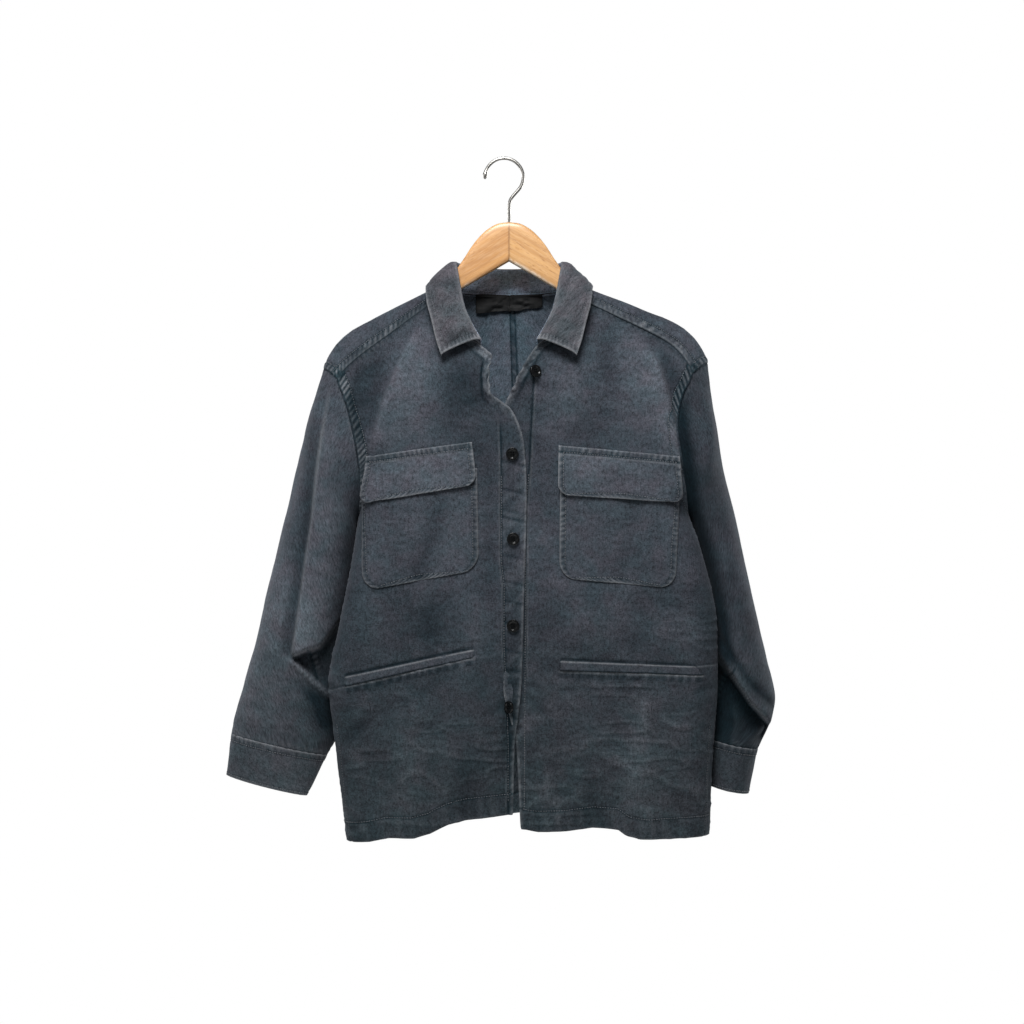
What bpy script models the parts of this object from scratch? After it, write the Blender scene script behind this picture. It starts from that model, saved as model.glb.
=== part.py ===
"""Button-front overshirt jacket hanging on a contoured wooden hanger with a wire hook.

The garment faces -Y and +Z is up. The origin is the inner top of the hook, where a rail holds it.
Sides are the wearer's: the right side is at -X. Tables are in millimetres, measured from the hanger's
stem axis (x), its middle plane (y) and a level a little below the inner top of the hook (z).
"""

import math
from collections import namedtuple

import bmesh
import bpy
import numpy as np
from mathutils import Vector

# Driving sizes, in millimetres
MM = 0.001
STEM_OFFSET = 6.0          # the stem stands this far to +X of the hook's top
CLOTH = 1.5                # thickness of the body, sleeve and collar cloth
TRIM = 1.2                 # thickness of pockets, flaps and welts
SEAM_GAP = 0.3             # clear gap that each edge keeps from its seam line
EDGE_SHARE = 0.0013        # that gap as a share of a panel's width
SEAM_SHARE = 0.002         # and of its length
LAP = 2.4                  # how far the left front lies behind the right front
FRONT_TURN = 34.0          # how far before the side seam a front starts to turn back
BACK_TURN = 70.0           # and a back half
BUTTON_RADIUS = 7.5
BUTTON_HEIGHT = 3.0
WIRE = 4.0                 # diameter of the hook wire
HOOK_RADIUS = 23.2         # middle line of the hook's arc
HOOK_RISE = 4.0            # inner top of the hook above the tables' level
HOOK_ANGLES = (185, -45)   # the arc's tip and the place where it leaves for the stem, in degrees
HOOK_STEP = -10
HOOK_BEND = 14.0           # length of each pull of the bend from the arc to the stem
STEM_LENGTH = 14.0         # straight wire above the wood
BEND_STEPS = 6

SIDES = {"right": -1, "left": 1}
AHEAD = (0, -1, 0)
BEHIND = (0, 1, 0)

# Columns and rows of each cloth surface; a panel's columns are those of its flat part and of its turn.
FRONT_COLUMNS = (7, 6)
BACK_COLUMNS = (6, 4)
TURN_COLUMN = 0.64         # share of a panel's width where the closer columns start
BACK_EXTRA_ROW = 0.45      # one more row this far below the back of the neck
SLEEVE_GRID = (18, 15)
CUFF_GRID = (18, 2)
STAND_GRID = (26, 1)
LEAF_GRID = (26, 4)
LABEL_GRID = (3, 2, 1)

# Front panels, a row for each section from the shoulder seam to the hem.
# The edge is the neckline and then the button edge; the side is the armhole and then the side seam.
FrontRow = namedtuple("FrontRow", "right_edge right_edge_z left_edge left_edge_z edge_y "
                                  "right_side right_side_z left_side left_side_z side_y "
                                  "right_crown left_crown")
FRONT = (
    FrontRow(-88, -168, 88, -167, -18, -206, -264, 220, -258, -38, 8, 26),
    FrontRow(-67, -204, 67, -203, -34, -193, -297, 204, -294, -48, 3, 14),
    FrontRow(-34, -225, 34, -225, -46, -185, -329, 199, -324, -53, 0, 5),
    FrontRow(-24, -250, 18, -248, -52, -179, -365, 204, -358, -54, 0, 0),
    FrontRow(-22, -280, 4, -276, -55, -177, -397, 211, -395, -45, 0, 0),
    FrontRow(4, -304, -7, -302, -57, -179, -418, 214, -418, -29, 0, 0),
    FrontRow(18, -345, -11, -345, -58, -181, -430, 217, -430, -12, 0, 0),
    FrontRow(21, -405, -11, -405, -58, -186, -468, 230, -468, -15, 0, 0),
    FrontRow(18, -520, -11, -520, -56, -204, -558, 250, -560, -15, 0, 0),
    FrontRow(15, -625, -8, -625, -53, -217, -632, 251, -632, -15, 0, 0),
    FrontRow(7, -705, 9, -705, -49, -209, -705, 246, -705, -14, 0, 0),
    FrontRow(4, -788, 15, -803, -45, -195, -821, 241, -813, -12, 0, 0),
)
FRONT_UNDERARM_ROW = 6

# Back halves, a row for each section from the shoulder seam, over the hanger and down to the hem.
# The edge is the neckline, neck from the centre line, and then the centre-back seam.
BackRow = namedtuple("BackRow", "centre neck edge_y edge_z "
                                "right_side right_side_z left_side left_side_z side_y "
                                "right_crown left_crown")
BACK = (
    BackRow(0, 88, -18, -168, -206, -264, 220, -258, -38, 8, 26),
    BackRow(0, 86.5, -10, -154, -216, -255, 232, -248, -28, 20, 33),
    BackRow(0, 84.5, 0, -149.5, -224, -251, 240, -244, -15, 31, 36),
    BackRow(0, 80, 11, -151, -220, -257, 234, -251, 0, 25, 31),
    BackRow(0, 66, 22, -156, -208, -272, 221, -268, 16, 15, 18),
    BackRow(0, 40, 31, -159, -199, -294, 210, -291, 29, 7, 8),
    BackRow(0, 0, 36, -160, -191, -320, 203, -318, 38, 0, 0),
    BackRow(2, 0, 43, -215, -185, -350, 203, -348, 42, 0, 0),
    BackRow(4, 0, 47, -275, -181, -380, 207, -378, 40, 0, 0),
    BackRow(6, 0, 49, -325, -179, -404, 211, -404, 28, 0, 0),
    BackRow(7, 0, 50, -370, -179.5, -421, 214, -421, 8, 0, 0),
    BackRow(8, 0, 50, -400, -181, -430, 217, -430, -12, 0, 0),
    BackRow(9, 0, 49, -450, -186, -468, 230, -468, -15, 0, 0),
    BackRow(13, 0, 47, -545, -204, -558, 250, -560, -15, 0, 0),
    BackRow(15, 0, 44, -624, -217, -632, 251, -632, -15, 0, 0),
    BackRow(17, 0, 41, -704, -209, -705, 246, -705, -14, 0, 0),
    BackRow(19, 0, 37, -794, -195, -821, 241, -813, -12, 0, 0),
)
BACK_RIDGE_ROW = 2
BACK_UNDERARM_ROW = 11

# Largest folds of the fronts: a soft ridge (or trough, height below zero) from top to foot.
Fold = namedtuple("Fold", "side top_x top_z foot_x foot_z width height")
FOLD_END = 0.7             # how bluntly a fold ends
FRONT_FOLDS = (
    Fold("right", -112, -200, -150, -330, 20, 7),
    Fold("right", -122, -650, -122, -830, 34, 7),
    Fold("left", 172, -222, 186, -300, 16, 5),
    Fold("left", 163, -660, 163, -830, 34, 7),
)

# Sleeves, a row for each section below the armhole: its outer and inner points, middle y and half depth.
SleeveRow = namedtuple("SleeveRow", "outer_x outer_z inner_x inner_z mid_y half_depth")
SLEEVES = {
    "right": (
        SleeveRow(-239, -299, -184, -438, -4, 50),
        SleeveRow(-255, -361, -185, -456, 4, 53),
        SleeveRow(-269, -417, -187, -482, 12, 54),
        SleeveRow(-283, -470, -193, -518, 18, 52),
        SleeveRow(-297, -528, -202, -558, 21, 50),
        SleeveRow(-310, -582, -210, -598, 22, 50),
        SleeveRow(-320, -619, -213, -625, 22, 46),
        SleeveRow(-328, -651, -212, -653, 20, 40),
        SleeveRow(-336, -682, -209, -690, 16, 34),
        SleeveRow(-338, -694, -223, -720, 12, 28),
    ),
    "left": (
        SleeveRow(249, -307, 220, -438, 2, 50),
        SleeveRow(258, -355, 225, -458, 14, 52),
        SleeveRow(269, -402, 234, -487, 22, 52),
        SleeveRow(280, -446, 241, -517, 26, 52),
        SleeveRow(292, -503, 246, -553, 28, 51),
        SleeveRow(304, -555, 248, -592, 28, 50),
        SleeveRow(316, -606, 247, -628, 28, 50),
        SleeveRow(326, -652, 245, -663, 27, 49),
        SleeveRow(320, -681, 243, -694, 25, 48),
        SleeveRow(304, -713, 243, -700, 24, 46),
    ),
}
SLEEVE_OUT = 1.2           # how far a sleeve's top stands out from the armhole
CUFF_GAP = 0.9             # between a sleeve's end and its cuff
CUFF_MOUTHS = {
    "right": SleeveRow(-344, -744, -247, -769, 10, 24),
    "left": SleeveRow(293, -767, 241, -756, 24, 43),
}

# Collar from the centre back (first row) to its front end, on the left side; the right mirrors it.
# Each row stands a share of the way along the neck seam. The stand runs from that seam to the fold,
# and the leaf from the fold to its outer edge.
CollarRow = namedtuple("CollarRow", "share fold_x fold_y fold_z leaf_x leaf_y leaf_z")
COLLAR = (
    CollarRow(0.0, 0, 42, -125, 0, 53, -171),
    CollarRow(0.19, 36, 37, -124, 54, 47, -171),
    CollarRow(0.33, 55, 24, -121.5, 84, 33, -165),
    CollarRow(0.47, 64, 2, -120.5, 100, 3, -151),
    CollarRow(0.59, 60, -22, -143, 98, -31, -169),
    CollarRow(0.8, 53, -42, -178, 91, -45, -198),
    CollarRow(0.91, 43, -51, -201, 86, -51, -219),
    CollarRow(1.0, 33, -55, -219, 80, -56, -238),
)
FRONT_NECK_ROW = 2         # the neck seam ends at this row of the fronts
BACK_NECK_ROW = 6          # and meets the centre back at this row of the backs
STAND_GAPS = (1.2, 0.9)    # from the neck seam to the stand, and from the stand to the fold
LEAF_START = 2.5           # how far the leaf's fold stands off the top of the stand
LEAF_LEAN = 14.0           # how steeply the leaf's arch points upwards
LEAF_ROLL = 4.0            # how far the leaf arches out between its fold and its edge

# Pockets, flaps and welts, by their corners on the front: upper inner and outer, lower inner and outer.
Patch = namedtuple("Patch", "in_x in_z out_x out_z low_in_x low_in_z low_out_x low_out_z corner lift")
POCKET_LIFT = CLOTH / 2 + TRIM / 2 + 1.3
FLAP_LIFT = POCKET_LIFT + TRIM + 1.3
PATCHES = {
    "chest_pocket_right": Patch(-38, -372, -174, -385, -36, -492, -173, -517, 20, POCKET_LIFT),
    "pocket_flap_right": Patch(-44, -341, -170, -358, -38, -391, -175, -414, 13, FLAP_LIFT),
    "hip_welt_right": Patch(-41, -589, -196, -621, -41, -599, -196, -633, 1.5, POCKET_LIFT),
    "chest_pocket_left": Patch(61, -376, 202, -382, 60, -502, 198, -514, 20, POCKET_LIFT),
    "pocket_flap_left": Patch(59, -345, 205, -358, 58, -403, 204, -413, 13, FLAP_LIFT),
    "hip_welt_left": Patch(61, -602, 222, -609, 60, -614, 232, -620, 1.5, POCKET_LIFT),
}
PATCH_CROWDING = 1.4       # how much closer a patch's columns lie towards the side
CORNER_FULLNESS = 0.9      # how far a round corner runs in
PatchGrid = namedtuple("PatchGrid", "kind columns rows corner_rows")
PATCH_GRIDS = (
    PatchGrid("chest_pocket_", 8, 8, 3),
    PatchGrid("pocket_flap_", 8, 5, 3),
    PatchGrid("hip_welt_", 8, 2, 1),
)
LABEL = Patch(0, -163, 41, -163, 0, -185, 41, -185, 0.5, -(CLOTH / 2 + TRIM / 2 + 0.9))
LABEL_START = (0.1, 0.4)   # where on a back half the search for the label starts
FRONT_START = (0.5, 0.6)   # and on a front for the pockets

# Buttons down the right front, and the top one on the left front.
Button = namedtuple("Button", "side x z")
BUTTONS = (
    Button("left", 31, -257),
    Button("right", 4, -355),
    Button("right", 5, -456),
    Button("right", 5, -559),
    Button("right", 3, -656),
)
ButtonRow = namedtuple("ButtonRow", "radius height")
BUTTON_PROFILE = (
    ButtonRow(0.0, 0.62),
    ButtonRow(0.55, 0.62),
    ButtonRow(0.72, 1.0),
    ButtonRow(0.9, 0.95),
    ButtonRow(1.0, 0.6),
    ButtonRow(0.9, 0.0),
    ButtonRow(0.0, 0.0),
)
BUTTON_STEPS = 16

# Hanger half from the mitre to the neck of the garment: height of its top and lower edges.
HangerRow = namedtuple("HangerRow", "x top low half_thick")
HANGER = (
    HangerRow(0, -72, -119.5, 7.0),
    HangerRow(12, -73.5, -126.5, 7.0),
    HangerRow(25, -80, -134, 7.0),
    HangerRow(37, -91, -141, 6.8),
    HangerRow(46, -102.5, -146.5, 6.6),
    HangerRow(54, -115, -151, 6.4),
    HangerRow(64, -129.5, -158, 6.2),
    HangerRow(76, -148, -167, 5.5),
)
ARM_SECTIONS = 7           # sections of an arm under the shoulder
ARM_REACH = 0.7            # share of the shoulder that the arm reaches
ARM_DEPTH = (18.0, 13.0)   # height of the arm at the neck and at its tip
ARM_HALF_THICK = 5.0
ARM_START = 0.02           # share of the shoulder where the arm starts
EDGE_ROUND = 0.55          # roundness of the wood's edges, as a share of its half thickness
ARM_DROP = 3.7             # top of the arm below the middle of the cloth on it

# Colours as linear red, green and blue
CHARCOAL = (0.075, 0.084, 0.1)
BEECH = (0.62, 0.35, 0.15)
STEEL = (0.75, 0.76, 0.78)
BLACK = (0.012, 0.013, 0.014)


def clear_scene():
    for old in list(bpy.data.objects):
        bpy.data.objects.remove(old)


def make_material(name, colour, roughness, metallic=0.0):
    material = bpy.data.materials.new(name)
    material.use_nodes = True
    shader = material.node_tree.nodes["Principled BSDF"]
    shader.inputs["Base Color"].default_value = (*colour, 1.0)
    shader.inputs["Roughness"].default_value = roughness
    shader.inputs["Metallic"].default_value = metallic
    return material


def smooth(rows, place):
    """Smooth curve through evenly spaced rows, with no overshoot; place runs from 0 to 1."""
    rows = np.asarray(rows, float)
    steps = np.diff(rows, axis=0)
    slopes = np.zeros_like(rows)
    before, after = steps[:-1], steps[1:]
    total = np.where(before * after > 0, before + after, 1.0)
    slopes[1:-1] = np.where(before * after > 0, 2 * before * after / total, 0.0)
    slopes[0], slopes[-1] = steps[0], steps[-1]
    place = np.clip(np.asarray(place, float), 0, 1) * (len(rows) - 1)
    low = np.minimum(place.astype(int), len(rows) - 2)
    t = (place - low).reshape(place.shape + (1,) * (rows.ndim - 1))
    return (rows[low] * (1 + 2 * t) * (1 - t) ** 2 + slopes[low] * t * (1 - t) ** 2
            + rows[low + 1] * t * t * (3 - 2 * t) + slopes[low + 1] * t * t * (t - 1))


def across(edge, side, crown, turned, turn, u):
    """Point a share u across a panel: bowed at the shoulder, lower down flat and then turned at the side."""
    gap = side - edge
    width = np.abs(gap[..., 0])
    arc = math.pi / 2 * np.sqrt((turn ** 2 + gap[..., 1] ** 2) / 2)
    flat_share = (width - turn) / (width - turn + arc)
    angle = np.clip((u - flat_share) / (1 - flat_share), 0, 1) * math.pi / 2
    reach = turn / width
    along = np.where(u < flat_share, u / flat_share * (1 - reach), 1 - reach + reach * np.sin(angle))
    depth = (1 - turned) * along ** 2 + turned * (1 - np.cos(angle))
    point = edge + gap * along[..., None]
    point[..., 1] = edge[..., 1] + gap[..., 1] * depth
    point[..., 2] += crown * along * (1 - along ** 8)
    return point


def front_point(side, u, v):
    """Point on a front: u runs from the button edge to the side, v from the shoulder seam to the hem."""
    u, v = np.broadcast_arrays(np.asarray(u, float), np.asarray(v, float))
    lap = LAP if side == "left" else 0.0
    rows = [(getattr(r, side + "_edge"), r.edge_y + lap, getattr(r, side + "_edge_z"),
             getattr(r, side + "_side"), r.side_y, getattr(r, side + "_side_z"),
             getattr(r, side + "_crown")) for r in FRONT]
    row = smooth(rows, v)
    turned = np.clip(v * (len(FRONT) - 1) / FRONT_NECK_ROW, 0, 1)
    point = across(row[..., 0:3], row[..., 3:6], row[..., 6], turned, FRONT_TURN, u)
    for fold in FRONT_FOLDS:
        if fold.side == side:
            point[..., 1] -= fold_height(fold, point[..., 0], point[..., 2])
    return point


def fold_height(fold, x, z):
    """Height of a soft fold at a place on the front, fading out at its two ends."""
    share = np.clip((fold.top_z - z) / (fold.top_z - fold.foot_z), 0, 1)
    off = (x - fold.top_x - (fold.foot_x - fold.top_x) * share) / fold.width
    return fold.height * np.exp(-off ** 2) * np.sin(math.pi * share) ** FOLD_END


def back_point(side, u, v):
    """Point on a back half: u runs from the centre back to the side, v from the shoulder seam to the hem."""
    u, v = np.broadcast_arrays(np.asarray(u, float), np.asarray(v, float))
    rows = [(r.centre + SIDES[side] * max(r.neck, SEAM_GAP), r.edge_y, r.edge_z,
             getattr(r, side + "_side"), r.side_y, getattr(r, side + "_side_z"),
             getattr(r, side + "_crown")) for r in BACK]
    row = smooth(rows, v)
    turned = np.clip(v * (len(BACK) - 1) / BACK_NECK_ROW, 0, 1)
    return across(row[..., 0:3], row[..., 3:6], row[..., 6], turned, BACK_TURN, u)


def along_route(route, share):
    """Point a share of the length along a route of points."""
    length = np.concatenate([[0], np.cumsum(np.linalg.norm(np.diff(route, axis=0), axis=1))])
    place = np.asarray(share, float) * length[-1]
    return np.stack([np.interp(place, length, route[:, k]) for k in range(3)], axis=-1)


def armhole_point(side, share):
    """Point on the armhole: 0 at the top of the shoulder, 1 and -1 at the underarm by the front and back."""
    top = BACK_RIDGE_ROW / (len(BACK) - 1)
    over = back_point(side, 1.0, np.linspace(top, 0, 12))
    down = front_point(side, 1.0, np.linspace(0, FRONT_UNDERARM_ROW / (len(FRONT) - 1), 60))
    behind = back_point(side, 1.0, np.linspace(top, BACK_UNDERARM_ROW / (len(BACK) - 1), 80))
    ahead = np.concatenate([over, down[1:]])
    return np.where((share >= 0)[..., None], along_route(ahead, np.abs(share)),
                    along_route(behind, np.abs(share)))


def neck_point(side, share):
    """Point on the neck seam: 0 at the centre back, 1 at the collar's front end."""
    behind = back_point(side, 0.0, np.linspace(BACK_NECK_ROW / (len(BACK) - 1), 0, 60))
    ahead = front_point(side, 0.0, np.linspace(0, FRONT_NECK_ROW / (len(FRONT) - 1), 40))
    return along_route(np.concatenate([behind, ahead[1:]]), share)


def ring(row, share):
    """Oval section of a sleeve: share 0 at its outer point, 0.5 at the front, 1 and -1 at its inner point."""
    outer = np.array([row.outer_x, row.mid_y, row.outer_z])
    inner = np.array([row.inner_x, row.mid_y, row.inner_z])
    angle = np.asarray(share) * math.pi
    point = (outer + inner) / 2 + np.cos(angle)[..., None] * (outer - inner) / 2
    point[..., 1] -= row.half_depth * np.sin(angle)
    return point


def sleeve_grid(side, around, along):
    """Grid of points on a sleeve, from its armhole seam to its cuff seam."""
    share = np.linspace(-1, 1, around + 1)
    start = armhole_point(side, share)
    start[:, 0] += SIDES[side] * (SLEEVE_OUT + CLOTH * share ** 4)
    start[:, 2] -= SEAM_GAP
    rings = np.stack([start] + [ring(row, share) for row in SLEEVES[side]])
    return smooth(rings, np.linspace(0, 1, along + 1))


def cuff_grid(side, around, along):
    """Grid of points on a cuff, a seam's gap below its sleeve."""
    share = np.linspace(-1, 1, around + 1)
    top = ring(SLEEVES[side][-1], share)
    mouth = ring(CUFF_MOUTHS[side], share)
    steps = np.linspace(0, 1, along + 1)[:, None, None]
    drop = (mouth - top) / np.linalg.norm(mouth - top, axis=-1, keepdims=True)
    top = top + drop * CUFF_GAP
    return top + (mouth - top) * steps


def both_sides(left):
    """A curve's rows from its right front end round the centre back to its left front end."""
    return np.concatenate([left[:0:-1] * np.array([-1, 1, 1]), left])


def collar_curves(columns):
    """Points of the collar's neck seam, fold and leaf edge, from the right front end to the left."""
    place = np.linspace(0, 1, columns + 1)
    fold = smooth(both_sides(np.array([row[1:4] for row in COLLAR], float)), place)
    leaf = smooth(both_sides(np.array([row[4:7] for row in COLLAR], float)), place)
    share = smooth([row.share for row in COLLAR], np.abs(2 * place - 1))
    neck = np.where((place < 0.5)[:, None], neck_point("right", share), neck_point("left", share))
    return neck, fold, leaf


def stand_grid(columns, rows):
    """Grid of points on the collar stand, clear of the neck seam below it and the leaf above it."""
    neck, fold, _ = collar_curves(columns)
    rise = (fold - neck) / np.linalg.norm(fold - neck, axis=-1, keepdims=True)
    low, high = neck + rise * STAND_GAPS[0], fold - rise * STAND_GAPS[1]
    share = np.linspace(0, 1, rows + 1)[:, None, None]
    return low + (high - low) * share


def leaf_grid(columns, rows):
    """Grid of points on the collar leaf, arched out between its fold and its outer edge."""
    _, fold, edge = collar_curves(columns)
    fall = edge - fold
    out = np.stack([fall[:, 0], fall[:, 1], np.full(len(fall), LEAF_LEAN)], axis=-1)
    out /= np.linalg.norm(out, axis=-1, keepdims=True)
    share = np.linspace(0, 1, rows + 1)[:, None, None]
    arch = LEAF_START * (1 - share) + LEAF_ROLL * np.sqrt(np.clip(4 * share * (1 - share), 0, 1))
    return fold + fall * share + out * arch


def surface_place(surface, x, z, start=FRONT_START):
    """The u and v at which a panel passes through a place seen from the front, found by Newton's steps."""
    u, v = np.full(x.shape, start[0]), np.full(x.shape, start[1])
    step = 1e-4
    for _ in range(30):
        point = surface(u, v)
        by_u = (surface(u + step, v) - point) / step
        by_v = (surface(u, v + step) - point) / step
        off_x, off_z = x - point[..., 0], z - point[..., 2]
        area = by_u[..., 0] * by_v[..., 2] - by_v[..., 0] * by_u[..., 2]
        area = np.where(np.abs(area) < 1e-6, 1e-6, area)
        u = np.clip(u + (off_x * by_v[..., 2] - off_z * by_v[..., 0]) / area, 0.01, 0.98)
        v = np.clip(v + (off_z * by_u[..., 0] - off_x * by_u[..., 2]) / area, 0.01, 0.985)
    return u, v


def lifted(surface, u, v, lift, outward):
    """Points of a panel moved off it along its normal, to the side that outward points to."""
    step = 1e-3
    across_way = surface(u + step, v) - surface(u - step, v)
    down_way = surface(u, v + step) - surface(u, v - step)
    normal = np.cross(across_way, down_way)
    normal /= np.linalg.norm(normal, axis=-1, keepdims=True)
    normal *= np.sign(normal @ np.array(outward))[..., None]
    return surface(u, v) + normal * lift


def patch_grid(surface, patch, columns, rows, corner_rows, outward, start=FRONT_START):
    """Grid of a four-cornered piece with round lower corners, lying on a panel."""
    u = 1 - (1 - np.linspace(0, 1, columns + 1)[None, :]) ** PATCH_CROWDING
    height = math.dist((patch.in_x, patch.in_z), (patch.low_in_x, patch.low_in_z))
    width = math.dist((patch.in_x, patch.in_z), (patch.out_x, patch.out_z))
    bend = np.linspace(0, math.pi / 2, corner_rows + 1)[1:]
    straight = np.linspace(0, 1 - patch.corner / height, rows - corner_rows + 1)
    v = np.concatenate([straight, 1 - patch.corner / height * (1 - np.sin(bend))])[:, None]
    run_in = patch.corner / width * CORNER_FULLNESS * (1 - np.cos(bend))
    inset = np.concatenate([0 * straight, run_in])[:, None]
    u = inset + u * (1 - 2 * inset)
    x = ((patch.in_x * (1 - u) + patch.out_x * u) * (1 - v)
         + (patch.low_in_x * (1 - u) + patch.low_out_x * u) * v)
    z = ((patch.in_z * (1 - u) + patch.out_z * u) * (1 - v)
         + (patch.low_in_z * (1 - u) + patch.low_out_z * u) * v)
    return lifted(surface, *surface_place(surface, x, z, start), patch.lift, outward)


def panel_grid(surface, flat, turned, rows):
    """Grid of points on a panel, a seam's gap inside its edges, with its columns closer where it turns."""
    closer = np.linspace(TURN_COLUMN, 1, turned + 1)[1:]
    u = np.concatenate([np.linspace(0, TURN_COLUMN, flat + 1), closer])
    u = EDGE_SHARE + u * (1 - 2 * EDGE_SHARE)
    v = np.concatenate([[SEAM_SHARE], rows[1:]])
    return surface(u[None, :], v[:, None])


class Maker:
    """Makes each named object, in its collection and under the empty on the hanger's stem."""

    def __init__(self, name):
        self.collection = bpy.data.collections.new(name)
        bpy.context.scene.collection.children.link(self.collection)
        self.stem = bpy.data.objects.new("stem_axis", None)
        self.stem.location = (STEM_OFFSET * MM, 0, -HOOK_RISE * MM)
        self.collection.objects.link(self.stem)

    def add(self, name, data, material):
        made = bpy.data.objects.new(name, data)
        data.materials.append(material)
        self.collection.objects.link(made)
        made.parent = self.stem
        return made

    def shell(self, name, points, thickness, material, closed=False):
        """Open grid surface through the points, joined round if closed, with the cloth's thickness."""
        rows, columns = points.shape[0] - 1, points.shape[1] - 1
        bm = bmesh.new()
        bmesh.ops.create_grid(bm, x_segments=columns, y_segments=rows, size=0.5)
        for vert in bm.verts:
            column = round((vert.co.x + 0.5) * columns)
            row = round((vert.co.y + 0.5) * rows)
            vert.co = Vector(points[row, column]) * MM
        if closed:
            bmesh.ops.remove_doubles(bm, verts=bm.verts, dist=1e-7)
        mesh = bpy.data.meshes.new(name)
        bm.to_mesh(mesh)
        bm.free()
        mesh.shade_smooth()
        made = self.add(name, mesh, material)
        wall = made.modifiers.new("wall", "SOLIDIFY")
        wall.thickness = thickness * MM
        wall.offset = 0.0
        wall.use_even_offset = True
        return made

    def loft(self, name, rings, material):
        """Solid through closed rings of equal count, capped at its two ends."""
        bm = bmesh.new()
        loops = [[bm.verts.new(Vector(p) * MM) for p in points] for points in rings]
        count = len(rings[0])
        for low, high in zip(loops, loops[1:]):
            for k in range(count):
                bm.faces.new((low[k], low[(k + 1) % count], high[(k + 1) % count], high[k]))
        bm.faces.new(loops[0][::-1])
        bm.faces.new(loops[-1])
        bmesh.ops.recalc_face_normals(bm, faces=bm.faces)
        mesh = bpy.data.meshes.new(name)
        bm.to_mesh(mesh)
        bm.free()
        mesh.shade_smooth()
        mesh.set_sharp_from_angle(angle=math.radians(40))
        return self.add(name, mesh, material)


def make_hanger_half(maker, side, material):
    """Wooden half: its neck from the table, then its arm under the ridge of the shoulder."""
    sign = SIDES[side]
    ridge = BACK_RIDGE_ROW / (len(BACK) - 1)
    sections = [(sign * max(row.x, SEAM_GAP / 2), 0.0, row.top, row.low, row.half_thick) for row in HANGER]
    shares = np.linspace(ARM_START, ARM_REACH, ARM_SECTIONS)
    for share, (x, y, z) in zip(shares, back_point(side, shares, ridge)):
        top = z - ARM_DROP
        depth = ARM_DEPTH[0] + (ARM_DEPTH[1] - ARM_DEPTH[0]) * share
        sections.append((x, y, top, top - depth, ARM_HALF_THICK))
    rings = []
    for x, y, top, low, half in sections:
        round_off = EDGE_ROUND * half
        outline = ((-half, low + round_off), (-half, top - round_off), (-half + round_off, top),
                   (half - round_off, top), (half, top - round_off), (half, low + round_off),
                   (half - round_off, low), (-half + round_off, low))
        rings.append([(x, y + dy, z) for dy, z in outline])
    maker.loft("hanger_" + side, rings, material)


def make_hook(maker, material):
    """Wire hook: an open arc to the right, then a bend back to the stem in the hanger's top."""
    centre = Vector((-STEM_OFFSET, 0, HOOK_RISE - HOOK_RADIUS + WIRE / 2))
    foot = Vector((0, 0, HANGER[0].top + SEAM_GAP))
    points = []
    for angle in range(HOOK_ANGLES[0], HOOK_ANGLES[1] - 1, HOOK_STEP):
        turn = math.radians(angle)
        points.append(centre + Vector((math.cos(turn), 0, math.sin(turn))) * HOOK_RADIUS)
    leave = points[-1]
    away = leave + (points[-1] - points[-2]).normalized() * HOOK_BEND
    neck = foot + Vector((0, 0, STEM_LENGTH))
    above = neck + Vector((0, 0, HOOK_BEND))
    for step in range(1, BEND_STEPS + 1):
        t = step / BEND_STEPS
        points.append(leave * (1 - t) ** 3 + away * 3 * t * (1 - t) ** 2
                      + above * 3 * t * t * (1 - t) + neck * t ** 3)
    points.append(foot)
    wire = bpy.data.curves.new("hanger_hook", "CURVE")
    wire.dimensions = "3D"
    wire.bevel_depth = WIRE / 2 * MM
    wire.bevel_resolution = 2
    wire.use_fill_caps = True
    route = wire.splines.new("POLY")
    route.points.add(len(points) - 1)
    for spot, point in zip(route.points, points):
        spot.co = (*(point * MM), 1)
    maker.add("hanger_hook", wire, material)


def make_button(maker, name, button, material):
    """Turned button with a raised rim and a sunk middle, seated on its front."""
    surface = lambda a, b: front_point(button.side, a, b)
    u, v = surface_place(surface, np.array(button.x), np.array(button.z))
    seat = lifted(surface, u, v, CLOTH / 2 + SEAM_GAP, AHEAD)
    ahead = lifted(surface, u, v, CLOTH / 2 + SEAM_GAP + 1, AHEAD)
    radius, height = BUTTON_RADIUS * MM, BUTTON_HEIGHT * MM
    profile = [(row.radius * radius, 0, row.height * height) for row in BUTTON_PROFILE]
    mesh = bpy.data.meshes.new(name)
    mesh.from_pydata(profile, [(k, k + 1) for k in range(len(profile) - 1)], [])
    made = maker.add(name, mesh, material)
    made.location = Vector(seat) * MM
    made.rotation_euler = Vector(ahead - seat).to_track_quat("Z", "Y").to_euler()
    turned = made.modifiers.new("turned", "SCREW")
    turned.steps = BUTTON_STEPS
    turned.render_steps = BUTTON_STEPS
    turned.use_merge_vertices = True
    turned.merge_threshold = 0.00001


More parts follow.
